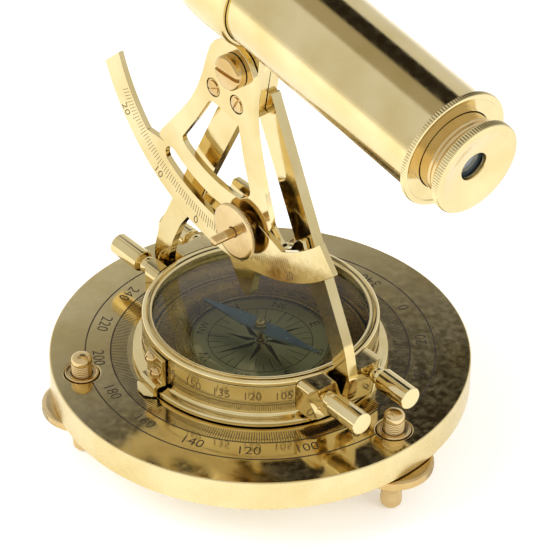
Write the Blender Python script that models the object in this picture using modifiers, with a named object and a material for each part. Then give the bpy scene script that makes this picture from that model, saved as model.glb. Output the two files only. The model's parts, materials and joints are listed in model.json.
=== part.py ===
"""Brass alidade: a tilting telescope with a degree arc, on a turning compass box and a levelling base.

Metres, +Z up. The origin is on the azimuth axis, in the plane of the levelling feet.
+X runs along the telescope towards the eyepiece, and the degree arc is on the -Y side.
Sizes below are in millimetres and are turned to metres where the shapes are made.
"""
import bpy
import bmesh
from math import cos, pi, radians, sin
from mathutils import Matrix, Vector

MM = 0.001
GAP = 0.3                     # clearance between pieces that touch

# base plate and its three levelling screws
BASE_TOP = 33.5
BASE_THICK = 11.8
BASE_R = 75.0
STUD_CIRCLE = 64.5
STUD_ANGLES = (6.0, 126.0, 243.5)
STUD_R = 3.75
STUD_TOP = 8.2                # dome above the base
BUSH_R = 6.0
WHEEL_R = 14.5
WHEEL_THICK = 4.0
WHEEL_MIDDLE = 19.2

# compass box, heights above the base top
BOX_R = 42.0
BOX_INNER_R = 39.6
BOX_BOTTOM = 1.2
BOX_FLANGE_R = 45.5
BOX_FLANGE_TOP = 3.8
BOX_WALL_TOP = 15.3
BEZEL_TOP = 17.9
GLASS_LEDGE = 13.3
GLASS_THICK = 1.6
SPINDLE_R = 4.0
FLOOR_TOP = 2.6

# pivot, telescope and degree arc
PIVOT_Z = BASE_TOP + 122.8
TUBE_TILT = 8.45              # eyepiece below level at rest
TUBE_RISE = 35.2              # telescope axis above the pivot
TUBE_Y = -8.2
TUBE_R = 18.7
TUBE_WALL = 1.2
COLLAR_R = 21.35
END_RING_BORE = 14.4
BARREL_END = 96.5            # along the telescope from the point above the pivot
SECTOR_Y = (-12.5, -10.3)
ARC_OUTER = 76.3
ARC_BAND = 66.3
SLOT_OUTER = 64.2
SLOT_INNER = 57.3
ARC_INNER = 49.3
ARC_CENTRE = (-1.5, -1.8)     # from the pivot, before the tilt
ARC_ENDS = (-58.0, 53.5)
WEB_Y = (-10.0, -7.2)
REAR_LEG_Y = (-6.9, -3.8)
FRONT_LEG_Y = (-3.5, 0.5)
CROSS_Y = (-6.4, -3.8)
CLAMP_PLATE_Y = (-10.0, -6.7)
CLAMP_STUD = (4.2, BASE_TOP + 60.5)
CLAMP_STUD_R = 1.75
HEAD_R = 8.1
PIVOT_R = 3.0

# brackets that hold the legs
FOOT_HALF_Y = 16.5
FOOT_X = (36.0, 48.0)
FOOT_Z = (4.4, 17.3)
LEG_PIN_Z = 8.4
INDEX_SCREWS = ((-2.4, 12.3), (0.9, 7.9))     # round the box wall and above the base
THUMB_Y = 11.0
THUMB_Z = 13.2
THUMB_R = 4.1
THUMB_TIP = 67.5

BRASS = (0.73, 0.60, 0.33, 1.0)
DARK_BRASS = (0.55, 0.42, 0.20, 1.0)
CARD = (0.72, 0.68, 0.48, 1.0)
STEEL_BLUE = (0.35, 0.42, 0.52, 1.0)
GLASS = (0.75, 0.80, 0.82, 1.0)


def clear_scene():
    for item in list(bpy.data.objects):
        bpy.data.objects.remove(item, do_unlink=True)


def collection(name):
    group = bpy.data.collections.new(name)
    bpy.context.scene.collection.children.link(group)
    return group


def finish_material(item, colour, roughness=0.2, metallic=1.0):
    """Give the object its own material, named after it."""
    material = bpy.data.materials.new(item.name)
    material.use_nodes = True
    shader = material.node_tree.nodes["Principled BSDF"]
    shader.inputs["Base Color"].default_value = colour
    shader.inputs["Roughness"].default_value = roughness
    shader.inputs["Metallic"].default_value = metallic
    item.data.materials.clear()
    item.data.materials.append(material)


def add_part(name, mesh, matrix=None, parent=None, colour=BRASS, roughness=0.2, metallic=1.0):
    """Link a mesh as a named sub-part; matrix places it in the world."""
    item = bpy.data.objects.new(name, mesh)
    PARTS.objects.link(item)
    if parent is not None:
        item.parent = parent
        item.matrix_parent_inverse = parent.matrix_world.inverted()
    if matrix is not None:
        item.matrix_world = matrix
    finish_material(item, colour, roughness, metallic)
    return item


def smooth_round(mesh, degrees=35.0):
    mesh.shade_smooth()
    mesh.set_sharp_from_angle(angle=radians(degrees))


def joint_empty(name, place_mm):
    """An empty on a joint's axis, for the pieces that move on it."""
    empty = bpy.data.objects.new(name, None)
    empty.location = Vector(place_mm) * MM
    PARTS.objects.link(empty)
    bpy.context.view_layer.update()
    return empty


def revolve_mesh(name, profile, steps):
    """A closed body turned about local Z from (radius, height) points in mm, running down its outer side."""
    mesh = bpy.data.meshes.new(name)
    points = [(radius * MM, 0.0, height * MM) for radius, height in profile]
    closed = profile[0][0] > 0.0
    edges = [(i, i + 1) for i in range(len(points) - 1)]
    if closed:
        edges.append((len(points) - 1, 0))
    mesh.from_pydata(points, edges, [])
    turned = bpy.data.objects.new(name + "_profile", mesh)
    PARTS.objects.link(turned)
    screw = turned.modifiers.new("turn", "SCREW")
    screw.steps = steps
    screw.render_steps = steps
    screw.use_merge_vertices = True
    screw.merge_threshold = 0.00001
    bpy.context.view_layer.update()
    depsgraph = bpy.context.evaluated_depsgraph_get()
    result = bpy.data.meshes.new_from_object(turned.evaluated_get(depsgraph))
    bpy.data.objects.remove(turned, do_unlink=True)
    shell = bmesh.new()
    shell.from_mesh(result)
    bmesh.ops.remove_doubles(shell, verts=shell.verts, dist=0.000005)
    shell.to_mesh(result)
    shell.free()
    result.name = name
    return result


def ring_profile(outer, inner, low, high, edge=0.4):
    """A plain ring's section with its outer edges broken."""
    return [(inner, high), (outer - edge, high), (outer, high - edge), (outer, low + edge),
            (outer - edge, low), (inner, low)]


def disc_profile(outer, low, high, edge=0.4):
    return [(0.0, high), (outer - edge, high), (outer, high - edge), (outer, low + edge),
            (outer - edge, low), (0.0, low)]


def turned(name, profile, steps=48, matrix=None, parent=None, **look):
    mesh = revolve_mesh(name, profile, steps)
    smooth_round(mesh)
    return add_part(name, mesh, matrix, parent, **look)


def arc(radius, start, end, count, centre=(0.0, 0.0)):
    """Points on an arc; angles in degrees from straight down, positive towards +X."""
    points = []
    for i in range(count + 1):
        angle = radians(start + (end - start) * i / count)
        points.append((centre[0] + radius * sin(angle), centre[1] - radius * cos(angle)))
    return points


def polar(radius, degrees):
    return (radius * sin(radians(degrees)), -radius * cos(radians(degrees)))


def plate_mesh(name, outline, holes, thickness):
    """A flat outline in local XY, extruded to thickness about z = 0 and made a closed mesh."""
    curve = bpy.data.curves.new(name, "CURVE")
    curve.dimensions = "2D"
    curve.fill_mode = "BOTH"
    curve.extrude = thickness * MM / 2
    for ring in [outline] + list(holes):
        spline = curve.splines.new("POLY")
        spline.points.add(len(ring) - 1)
        for point, (x, y) in zip(spline.points, ring):
            point.co = (x * MM, y * MM, 0.0, 1.0)
        spline.use_cyclic_u = True
    source = bpy.data.objects.new(name + "_outline", curve)
    PARTS.objects.link(source)
    bpy.context.view_layer.update()
    depsgraph = bpy.context.evaluated_depsgraph_get()
    mesh = bpy.data.meshes.new_from_object(source.evaluated_get(depsgraph))
    bpy.data.objects.remove(source, do_unlink=True)
    shell = bmesh.new()
    shell.from_mesh(mesh)
    bmesh.ops.remove_doubles(shell, verts=shell.verts, dist=0.000005)
    bmesh.ops.recalc_face_normals(shell, faces=shell.faces)
    shell.to_mesh(mesh)
    shell.free()
    mesh.name = name
    return mesh


def circle(radius, centre=(0.0, 0.0), count=16):
    return [(centre[0] + radius * cos(2 * pi * i / count), centre[1] + radius * sin(2 * pi * i / count))
            for i in range(count)]


# local XY of an upright plate is world X and Z, and its thickness runs along Y
UPRIGHT = Matrix.Rotation(radians(90.0), 4, "X")


def upright(y_low, y_high, origin=(0.0, 0.0), tilt=0.0):
    """Placement of an upright plate between two Y values, its local origin at world (X, Z)."""
    place = Vector((origin[0], (y_low + y_high) / 2, origin[1])) * MM
    return Matrix.Translation(place) @ Matrix.Rotation(radians(tilt), 4, "Y") @ UPRIGHT


def along(direction, place):
    """Placement that turns local Z to a direction, with the local origin at a place in mm."""
    turn = Vector((0.0, 0.0, 1.0)).rotation_difference(Vector(direction)).to_matrix().to_4x4()
    return Matrix.Translation(Vector(place) * MM) @ turn


def cutter(name, mesh, matrix):
    item = bpy.data.objects.new(name, mesh)
    CUTTERS.objects.link(item)
    item.matrix_world = matrix
    item.display_type = "WIRE"
    item.hide_render = True
    return item


def round_cutter(name, radius, length, matrix, steps=24):
    """A cylinder of the given length, centred on its placement."""
    mesh = revolve_mesh(name, disc_profile(radius, -length / 2, length / 2, 0.01), steps)
    return cutter(name, mesh, matrix)


def box_cutter(name, low, high):
    shell = bmesh.new()
    bmesh.ops.create_cube(shell, size=1.0)
    size = [(b - a) * MM for a, b in zip(low, high)]
    bmesh.ops.scale(shell, vec=size, verts=shell.verts)
    mesh = bpy.data.meshes.new(name)
    shell.to_mesh(mesh)
    shell.free()
    middle = Vector([(a + b) / 2 for a, b in zip(low, high)]) * MM
    return cutter(name, mesh, Matrix.Translation(middle))


def combine(item, tool, operation="DIFFERENCE"):
    modifier = item.modifiers.new(tool.name, "BOOLEAN")
    modifier.operation = operation
    modifier.solver = "EXACT"
    modifier.object = tool


def above_base(height):
    return BASE_TOP + height


# ---------------------------------------------------------------- base

def stud_place(index, height=0.0):
    angle = radians(STUD_ANGLES[index])
    return (STUD_CIRCLE * cos(angle), STUD_CIRCLE * sin(angle), height)


def build_base():
    bottom = BASE_TOP - BASE_THICK
    profile = [(SPINDLE_R + GAP, BASE_TOP), (BASE_R - 0.7, BASE_TOP), (BASE_R, BASE_TOP - 0.7),
               (BASE_R, bottom + 0.7), (BASE_R - 0.7, bottom), (SPINDLE_R + GAP, bottom)]
    plate = turned("base_plate", profile, 64)
    bush_profile = [(STUD_R + GAP, BASE_TOP + 0.5), (BUSH_R - 0.3, BASE_TOP + 0.5), (BUSH_R, BASE_TOP + 0.2),
                    (BUSH_R, bottom + 0.2), (STUD_R + GAP, bottom + 0.2)]
    for i in range(3):
        place = Matrix.Translation(Vector(stud_place(i)) * MM)
        combine(plate, round_cutter(f"bush_hole_{i + 1}", BUSH_R + GAP, 100.0, place, 24))
        turned(f"levelling_bush_{i + 1}", bush_profile, 24, place)


def build_levelling():
    top = above_base(STUD_TOP)
    rod = [(0.0, top), (1.5, top - 0.2), (2.8, top - 0.8), (STUD_R, top - 2.2), (STUD_R, 4.4),
           (STUD_R + 0.15, 4.2), (STUD_R + 0.15, 2.2), (3.2, 0.8), (2.2, 0.0), (0.0, 0.0)]
    for i in range(3):
        post = joint_empty(f"levelling_{i + 1}_axis", stud_place(i))
        turned(f"levelling_screw_{i + 1}", rod, 16, post.matrix_world.copy(), post)
        low = WHEEL_MIDDLE - WHEEL_THICK / 2
        turned(f"levelling_wheel_{i + 1}", ring_profile(WHEEL_R, STUD_R + GAP, low, low + WHEEL_THICK, 0.5),
               24, post.matrix_world.copy(), post)


# ---------------------------------------------------------------- compass

def build_compass(head):
    base = head.matrix_world.copy()
    inner, ledge = BOX_INNER_R, BOX_INNER_R - 1.3
    box = [(0.0, FLOOR_TOP), (ledge, FLOOR_TOP), (ledge, GLASS_LEDGE), (inner, GLASS_LEDGE),
           (inner, BOX_WALL_TOP), (BOX_R, BOX_WALL_TOP), (BOX_R, BOX_FLANGE_TOP + 0.2),
           (BOX_R + 1.2, BOX_FLANGE_TOP - 0.8), (BOX_FLANGE_R, BOX_FLANGE_TOP - 1.5),
           (BOX_FLANGE_R, BOX_BOTTOM), (0.0, BOX_BOTTOM)]
    turned("compass_box", box, 64, base, head)
    spindle = [(0.0, 0.9), (9.0, 0.9), (9.0, GAP), (SPINDLE_R, GAP), (SPINDLE_R, -16.6), (3.4, -17.2),
               (0.0, -17.2)]
    turned("azimuth_spindle", spindle, 24, base, head)
    turned("spindle_washer", ring_profile(9.0, SPINDLE_R + GAP, -13.4, -12.1, 0.2), 24, base, head)
    nut = plate_mesh("spindle_nut", circle(7.5, count=6), [circle(SPINDLE_R + GAP)], 3.0)
    add_part("spindle_nut", nut, base @ Matrix.Translation((0.0, 0.0, -15.2 * MM)), head)
    turned("dial_plate", ring_profile(ledge - GAP, 25.5, FLOOR_TOP + GAP, 4.6, 0.3), 48, base, head,
           colour=DARK_BRASS)
    turned("rose_card", ring_profile(25.0, 1.5, FLOOR_TOP + GAP, 3.9, 0.2), 32, base, head, colour=CARD,
           roughness=0.35)
    pin = [(0.0, 9.4), (0.35, 9.0), (1.1, 7.6), (1.1, FLOOR_TOP + GAP), (0.0, FLOOR_TOP + GAP)]
    turned("needle_pin", pin, 12, base, head)
    pane = disc_profile(inner - GAP, GLASS_LEDGE + GAP, GLASS_LEDGE + GAP + GLASS_THICK, 0.1)
    turned("compass_glass", pane, 48, base, head, colour=GLASS, roughness=0.05, metallic=0.0)
    bezel = [(38.3, 17.0), (38.9, 17.7), (39.8, BEZEL_TOP), (41.2, BEZEL_TOP - 0.1), (42.0, BEZEL_TOP - 0.8),
             (BOX_R, BOX_WALL_TOP + GAP), (38.3, BOX_WALL_TOP + GAP)]
    turned("bezel", bezel, 64, base, head)


def build_needle(head):
    axis = joint_empty("needle_axis", (0.0, 0.0, above_base(9.8)))
    axis.parent = head
    axis.matrix_parent_inverse = head.matrix_world.inverted()
    half, wide = 27.0, 3.4
    outline = [(half, 0.0), (half * 0.25, wide), (0.0, wide * 0.75), (-half * 0.25, wide), (-half, 0.0),
               (-half * 0.25, -wide), (0.0, -wide * 0.75), (half * 0.25, -wide)]
    middle = Vector((0.0, 0.0, above_base(10.2))) * MM
    place = Matrix.Translation(middle) @ Matrix.Rotation(radians(13.0), 4, "Z")
    add_part("compass_needle", plate_mesh("compass_needle", outline, [], 0.8), place, axis, STEEL_BLUE, 0.3)
    cap = [(0.0, 13.0), (1.4, 12.8), (2.15, 12.1), (2.15, 10.9), (0.0, 10.9)]
    turned("needle_cap", cap, 16, head.matrix_world.copy(), axis)


# ---------------------------------------------------------------- brackets and frame

def build_index(head):
    """The pointer over the base's scale, with its two screws on the box wall."""
    angle = radians(-97.0)
    facing = head.matrix_world @ Matrix.Rotation(angle, 4, "Z")
    back, face, tip = BOX_R + GAP, BOX_R + 1.9, BOX_R + 7.6
    section = [(back, 4.2), (BOX_R + 3.8, 4.2), (BOX_R + 3.9, 0.6), (tip, 0.6), (tip, 1.5),
               (BOX_R + 5.2, 1.9),
               (BOX_R + 5.0, 4.8), (BOX_R + 4.4, 5.4), (face, 5.4), (face, 15.0), (back, 15.0)]
    mesh = plate_mesh("index_bracket", section, [], 10.0)
    bracket = add_part("index_bracket", mesh, facing @ UPRIGHT, head)
    head_start = face - back + 0.1
    for i, (side, height) in enumerate(INDEX_SCREWS):
        place = facing @ along((1, 0, 0), (back, side, height))
        combine(bracket, round_cutter(f"index_hole_{i + 1}", 1.3, 8.0, place, 16))
        screw = [(0.0, head_start + 2.0), (1.2, head_start + 1.8), (2.1, head_start + 1.0), (2.4, head_start),
                 (1.0, head_start), (1.0, 0.1), (0.0, 0.1)]
        turned(f"index_screw_{i + 1}", screw, 16, place, head)


def build_foot(head, side, label, leg_y):
    """A slotted block on the box wall that takes a leg's foot; side is +1 or -1 along X."""
    y = FOOT_HALF_Y
    outer = FOOT_X[1]
    outline = [(FOOT_X[0], -y), (outer - 3.0, -y), (outer, -y + 4.0), (outer, y - 4.0), (outer - 3.0, y),
               (FOOT_X[0], y)]
    if side < 0:
        outline = [(-a, b) for a, b in reversed(outline)]
    low, high = above_base(FOOT_Z[0]), above_base(FOOT_Z[1])
    place = Matrix.Translation((0.0, 0.0, (low + high) / 2 * MM))
    block = add_part(f"foot_bracket_{label}", plate_mesh(f"foot_bracket_{label}", outline, [], high - low),
                     place, head)
    wall_place = Matrix.Translation((0.0, 0.0, low * MM))
    combine(block, round_cutter(f"wall_clearance_{label}", BOX_R + GAP, 60.0, wall_place, 48))
    slot_bottom = above_base(6.3)
    slot = box_cutter(f"leg_slot_{label}", (20.0 * side if side > 0 else -60.0, leg_y[0] - GAP, slot_bottom),
                      (60.0 if side > 0 else -20.0, leg_y[1] + GAP, above_base(30.0)))
    combine(block, slot)
    flare = [(leg_y[0] - GAP, 10.0), (leg_y[1] + GAP, 10.0), (leg_y[1] + 3.4, 20.0), (leg_y[0] - 3.4, 20.0)]
    turn = Matrix.Rotation(radians(90.0), 4, "Z") @ UPRIGHT
    vee = cutter(f"leg_vee_{label}", plate_mesh(f"leg_vee_{label}", flare, [], 40.0),
                 Matrix.Translation((side * 50.0 * MM, 0.0, BASE_TOP * MM)) @ turn)
    combine(block, vee)
    pin_place = along((0, 1, 0), (side * 46.0, 0.0, above_base(LEG_PIN_Z)))
    combine(block, round_cutter(f"pin_hole_{label}", 1.2 + GAP, 60.0, pin_place, 16))
    turned(f"leg_pin_{label}", disc_profile(1.2, -FOOT_HALF_Y + 3.2, FOOT_HALF_Y - 3.2, 0.2),
           12, pin_place, head)
    for number, y_place in enumerate((-THUMB_Y, THUMB_Y)):
        seat = along((side, 0, 0), (side * 47.0, y_place, above_base(THUMB_Z)))
        combine(block, round_cutter(f"thumb_hole_{label}_{number + 1}", 1.6 + GAP, 12.0, seat, 16))


def build_thumb_screws(head):
    number = 0
    for side in (1, -1):
        for y_place in (-THUMB_Y, THUMB_Y):
            number += 1
            axis = joint_empty(f"thumb_screw_{number}_axis", (side * 48.0, y_place, above_base(THUMB_Z)))
            axis.parent = head
            axis.matrix_parent_inverse = head.matrix_world.inverted()
            tip = THUMB_TIP - 48.0
            shape = [(0.0, tip), (THUMB_R - 0.3, tip), (THUMB_R, tip - 0.3), (THUMB_R, 5.2),
                     (3.1, 4.4), (1.9, 4.0),
                     (2.6, 3.4), (2.9, 2.4), (2.6, 1.2), (1.9, GAP), (1.6, GAP), (1.6, -4.0), (0.0, -4.0)]
            turned(f"thumb_screw_{number}", shape, 16,
                   along((side, 0, 0), (side * 48.0, y_place, above_base(THUMB_Z))), axis)


def leg_outline():
    """Front leg in (X, height above base): round head on the pivot, then a straight taper to the foot."""
    pivot = (0.0, PIVOT_Z - BASE_TOP)
    head = arc(HEAD_R, -90.0, -270.0, 12, pivot)
    outer = [(HEAD_R, 114.0), (9.6, 110.5), (48.9, 30.0), (51.8, 18.0), (51.0, 10.5), (49.0, 7.0)]
    inner = [(44.4, 7.0), (43.4, 9.0), (43.6, 18.6), (41.3, 27.0), (37.0, 36.5), (29.4, 47.0), (1.2, 103.5),
             (-1.0, 104.6), (-HEAD_R, 104.6)]
    return head + outer + inner


def build_legs(head):
    for label, side, span in (("front", 1, FRONT_LEG_Y), ("rear", -1, REAR_LEG_Y)):
        name = f"frame_leg_{label}"
        outline = [(side * x, z - (PIVOT_Z - BASE_TOP)) for x, z in leg_outline()]
        pin = (side * 46.0, LEG_PIN_Z - (PIVOT_Z - BASE_TOP))
        holes = [circle(PIVOT_R + GAP), circle(1.2 + GAP, pin, 16)]
        if side > 0:
            holes.append(circle(1.0 + GAP, (27.0, 60.5 - (PIVOT_Z - BASE_TOP)), 16))
        mesh = plate_mesh(name, outline, holes, span[1] - span[0])
        add_part(name, mesh, upright(span[0], span[1], (0.0, PIVOT_Z)), head)
        build_foot(head, side, label, span)


def build_cross_plate(head):
    """The scalloped plate between the legs: it laps the front leg and butts against the rear one."""
    low, dip, shoulder = 48.5, 57.5, 66.0
    right = [(8.0, 72.0), (9.6, 68.0), (12.4, 62.8), (16.0, 58.8), (19.4, dip), (22.6, 59.2), (25.0, 63.5),
             (27.2, 65.8), (29.0, shoulder), (30.6, 62.0), (30.6, 57.0), (27.0, 52.0), (23.0, 49.4),
             (18.0, low)]
    left = [(-18.0, low), (-28.2, low), (-23.4, dip), (-19.4, dip), (-16.0, 58.8), (-12.4, 62.8),
            (-9.6, 68.0),
            (-8.0, 72.0)]
    zero = PIVOT_Z - BASE_TOP
    rivet = (27.0, 60.5)
    outline = [(x, z - zero) for x, z in right + left]
    holes = [circle(1.0 + GAP, (rivet[0], rivet[1] - zero), 16), circle(1.0 + GAP, (3.0, 54.0 - zero), 16)]
    mesh = plate_mesh("cross_plate", outline, holes, CROSS_Y[1] - CROSS_Y[0])
    add_part("cross_plate", mesh, upright(*CROSS_Y, (0.0, PIVOT_Z)), head)
    clamp = [(-6.8, 64.6), (6.8, 64.6), (9.2, 61.0), (10.0, 56.0), (8.8, 44.0), (6.0, 33.0), (4.6, 30.6),
             (2.4, 30.6), (-0.6, 34.0), (-6.6, 44.0), (-8.6, 56.0), (-8.6, 60.6)]
    holes = [circle(CLAMP_STUD_R + GAP, (CLAMP_STUD[0], CLAMP_STUD[1] - PIVOT_Z)),
             circle(1.0 + GAP, (3.0, 54.0 - zero), 16)]
    mesh = plate_mesh("clamp_plate", [(x, z - zero) for x, z in clamp], holes,
                      CLAMP_PLATE_Y[1] - CLAMP_PLATE_Y[0])
    add_part("clamp_plate", mesh, upright(*CLAMP_PLATE_Y, (0.0, PIVOT_Z)), head)
    for number, (x, z), start, length in ((1, rivet, CROSS_Y[0], 6.6), (2, (3.0, 54.0),
                                                                        CLAMP_PLATE_Y[0], 6.1)):
        shank = [(0.0, length), (0.8, length), (1.0, length - 0.2), (1.0, 0.0), (0.0, 0.0)]
        turned(f"cross_rivet_{number}", shank, 12, along((0, 1, 0), (x, start, above_base(z))), head)


def build_pivot(head):
    bolt = [(0.0, 16.8), (5.7, 16.8), (6.25, 16.2), (6.25, 12.8), (PIVOT_R, 12.8), (PIVOT_R, -4.6),
            (2.6, -5.0),
            (0.0, -5.0)]
    turned("pivot_bolt", bolt, 24, along((0, -1, 0), (0.0, 0.0, PIVOT_Z)), head)
    nut = plate_mesh("pivot_nut", circle(5.6, count=6), [circle(PIVOT_R + GAP)], 3.2)
    add_part("pivot_nut", nut, upright(0.8, 4.0, (0.0, PIVOT_Z)), head)


def build_clamp(head):
    front = CLAMP_STUD[0], -25.5, CLAMP_STUD[1]
    length = 25.5 + CLAMP_PLATE_Y[1]
    stud = [(0.0, 0.0), (1.3, 0.0), (CLAMP_STUD_R, -0.5), (CLAMP_STUD_R, -length), (0.0, -length)]
    turned("clamp_stud", stud, 16, along((0, -1, 0), front), head)
    axis = joint_empty("clamp_nut_axis", (CLAMP_STUD[0], -14.5, CLAMP_STUD[1]))
    axis.parent = head
    axis.matrix_parent_inverse = head.matrix_world.inverted()
    inner = CLAMP_STUD_R + GAP
    nut = [(inner, 16.6), (9.8, 16.6), (10.6, 16.2), (10.6, 15.1), (9.8, 14.7), (5.0, 14.2), (4.5, 12.8),
           (inner, 12.8)]
    turned("clamp_nut", nut, 24, along((0, -1, 0), (CLAMP_STUD[0], 0.0, CLAMP_STUD[1])), axis)


# ---------------------------------------------------------------- telescope

def sector_outline():
    """The degree arc, its two arms and its hub, round the pivot, before the telescope's tilt."""
    start, end = ARC_ENDS
    band = arc(ARC_OUTER, start, end, 36, ARC_CENTRE)
    right_inner = arc(ARC_BAND - 1.5, end + 1.0, 33.0, 8, ARC_CENTRE)
    slant = 3.0
    right_arm = [polar(61.5, 29.2), polar(44.7, 29.8), polar(33.2, 31.6), polar(23.4, 36.0),
                 polar(16.6, 46.4)]
    hub = [polar(11.5, 75.0), polar(9.9, 110.0), polar(9.4, 145.0), polar(9.4, 180.0), polar(11.4, -137.0),
           polar(12.6, -113.0), polar(13.8, -95.0), polar(15.5, -73.0), polar(19.3, -54.7),
           polar(26.1, -42.1)]
    left_arm = [polar(34.2, -36.8), polar(43.9, -34.8), polar(56.4, -33.7), polar(64.5, -33.2)]
    left_inner = arc(ARC_BAND, -36.0, start - slant, 8, ARC_CENTRE)
    return band + right_inner + right_arm + hub + left_arm + left_inner


def sector_window():
    return [polar(20.4, 13.6), polar(33.0, 16.4), polar(47.5, 19.4)] + \
        arc(ARC_INNER, 14.0, -24.0, 10, ARC_CENTRE) + [polar(36.0, -25.6), polar(22.7, -26.8)]


def sector_slot():
    middle = (SLOT_OUTER + SLOT_INNER) / 2
    half = (SLOT_OUTER - SLOT_INNER) / 2
    low, high = -24.0, 18.0
    cap = 6
    ends = []
    for angle, turn in ((high, 1), (low, -1)):
        centre = [a + b for a, b in zip(polar(middle, angle), ARC_CENTRE)]
        first = angle if turn > 0 else angle + 180.0
        ends.append([(centre[0] + half * sin(radians(first + 180.0 * i / cap)),
                      centre[1] - half * cos(radians(first + 180.0 * i / cap))) for i in range(1, cap)])
    return arc(SLOT_OUTER, low, high, 16, ARC_CENTRE) + ends[0] + \
        arc(SLOT_INNER, high, low, 16, ARC_CENTRE) + ends[1]


SADDLE_SCREWS = ((17.3, -33.5), (13.5, 11.9))     # radius from the pivot and angle, before the tilt


def build_sector(tube):
    screws = [polar(*place) for place in SADDLE_SCREWS]
    holes = [circle(PIVOT_R + GAP), sector_window(), sector_slot()]
    holes += [circle(3.5, centre, 20) for centre in screws]
    mesh = plate_mesh("sector_plate", sector_outline(), holes, SECTOR_Y[1] - SECTOR_Y[0])
    add_part("sector_plate", mesh, upright(*SECTOR_Y, (0.0, PIVOT_Z), TUBE_TILT), tube)
    # the web hangs from the collar round the tube
    half, top = 8.6, TUBE_RISE - COLLAR_R + 1.0
    web = [(-half - 5.0, top), (-half - 1.0, top - 5.0), (-half - 1.0, 2.0), (-13.4, -9.0)] + \
        arc(21.0, -38.0, 23.0, 8) + [(half, -6.0), (half, top - 4.0), (half - 1.2, top)]
    web.reverse()
    holes = [circle(PIVOT_R + GAP)] + [circle(1.8, centre, 16) for centre in screws]
    mesh = plate_mesh("saddle_web", web, holes, WEB_Y[1] - WEB_Y[0])
    plate = add_part("saddle_web", mesh, upright(*WEB_Y, (0.0, PIVOT_Z), TUBE_TILT), tube)
    combine(plate, round_cutter("collar_clearance", COLLAR_R + GAP, 80.0, tube.matrix_world @ ALONG_TUBE, 32))
    for i, centre in enumerate(screws):
        matrix = tube.matrix_world @ along((0, -1, 0), (centre[0], -TUBE_Y, centre[1]))
        screw = [(0.0, 13.1), (2.2, 12.95), (3.1, 12.3), (3.1, 10.6), (1.5, 10.6), (1.5, 7.6), (0.0, 7.6)]
        turned(f"saddle_screw_{i + 1}", screw, 16, matrix, tube)


# from the pivot to the telescope's own axis: local Z of a turned piece runs along it towards the eyepiece
ALONG_TUBE = Matrix.Translation((0.0, 0.0, TUBE_RISE * MM)) @ Matrix.Rotation(radians(90.0), 4, "Y")


def tube_shell(outer, low, high, wall=TUBE_WALL):
    return [(outer - wall, high), (outer, high), (outer, low), (outer - wall, low)]


def build_telescope(tube):
    place = tube.matrix_world @ ALONG_TUBE
    turned("eyepiece_barrel", tube_shell(TUBE_R, -4.8, BARREL_END), 32, place, tube)
    turned("objective_barrel", tube_shell(TUBE_R, -106.0, -5.2), 32, place, tube)
    collar = [(TUBE_R + GAP, 7.6), (20.0, 7.6), (20.7, 6.6), (21.2, 1.0), (COLLAR_R, -4.0), (21.2, -9.0),
              (20.7, -14.6), (20.0, -15.6), (TUBE_R + GAP, -15.6)]
    turned("centre_collar", collar, 32, place, tube)
    plug = TUBE_R - TUBE_WALL - GAP
    rim = BARREL_END + GAP
    ring = [(END_RING_BORE, rim + 1.5), (18.6, rim + 1.5), (19.0, rim + 2.0), (20.4, rim + 2.0),
            (20.9, rim + 1.5), (20.9, rim), (plug, rim), (plug, 84.0), (END_RING_BORE, 84.0)]
    turned("end_ring", ring, 32, place, tube)
    cell = [(17.0, -118.6), (17.0, -112.0), (16.0, -112.0), (16.0, -98.0), (TUBE_R - TUBE_WALL - GAP, -98.0),
            (TUBE_R - TUBE_WALL - GAP, -106.3), (20.2, -106.3), (21.0, -107.0), (21.2, -110.0),
            (20.9, -117.0),
            (20.0, -118.6)]
    turned("objective_cell", cell, 32, place, tube)
    lens = [(0.0, -112.6), (8.0, -112.8), (16.6, -113.4), (16.6, -115.2), (8.0, -116.6), (0.0, -117.0)]
    turned("objective_lens", lens, 32, place, tube, colour=GLASS, roughness=0.05, metallic=0.0)


def build_eyepiece(tube):
    """The draw tube slides along the telescope's axis, where its empty lies."""
    place = tube.matrix_world @ ALONG_TUBE
    eyepiece = joint_empty("eyepiece_axis", place.translation / MM)
    eyepiece.parent = tube
    eyepiece.matrix_parent_inverse = tube.matrix_world.inverted()
    bpy.context.view_layer.update()
    outer = END_RING_BORE - GAP
    draw = [(11.6, 106.0), (outer, 106.0), (outer, 62.0), (11.6, 62.0)]
    turned("draw_tube", draw, 32, place, eyepiece)
    cup = [(5.0, 107.7), (9.0, 108.4), (13.8, 109.7), (16.2, 109.7), (16.7, 109.3), (16.7, 106.9),
           (16.1, 106.3),
           (5.0, 106.3)]
    turned("eyecup", cup, 32, place, eyepiece)
    eye_lens = [(0.0, 105.4), (6.0, 105.2), (11.3, 104.4), (11.3, 102.6), (0.0, 101.8)]
    turned("eye_lens", eye_lens, 24, place, eyepiece, colour=GLASS, roughness=0.05, metallic=0.0)


def main():
    head = joint_empty("azimuth_axis", (0.0, 0.0, BASE_TOP))
    build_base()
    build_levelling()
    build_compass(head)
    build_needle(head)
    build_index(head)
    build_legs(head)
    build_thumb_screws(head)
    build_cross_plate(head)
    build_pivot(head)
    build_clamp(head)
    # the telescope and its arc hang on an empty on the pivot's axis, turned by the rest tilt
    tube = joint_empty("telescope_axis", (0.0, TUBE_Y, PIVOT_Z))
    tube.rotation_euler = (0.0, radians(TUBE_TILT), 0.0)
    bpy.context.view_layer.update()
    build_sector(tube)
    build_telescope(tube)
    build_eyepiece(tube)


clear_scene()
PARTS = collection("brass_alidade")
CUTTERS = collection("cutters")
main()
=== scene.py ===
"""Brass alidade: the finished surfaces, engraving, finishes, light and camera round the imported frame.

Shapes are drawn in millimetres and become metres when a piece is finished.
Heights on the compass and the A-frame are above the top of the base plate.
"""
import json
from math import atan2, cos, hypot, pi, radians, sin, sqrt, tan

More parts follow.
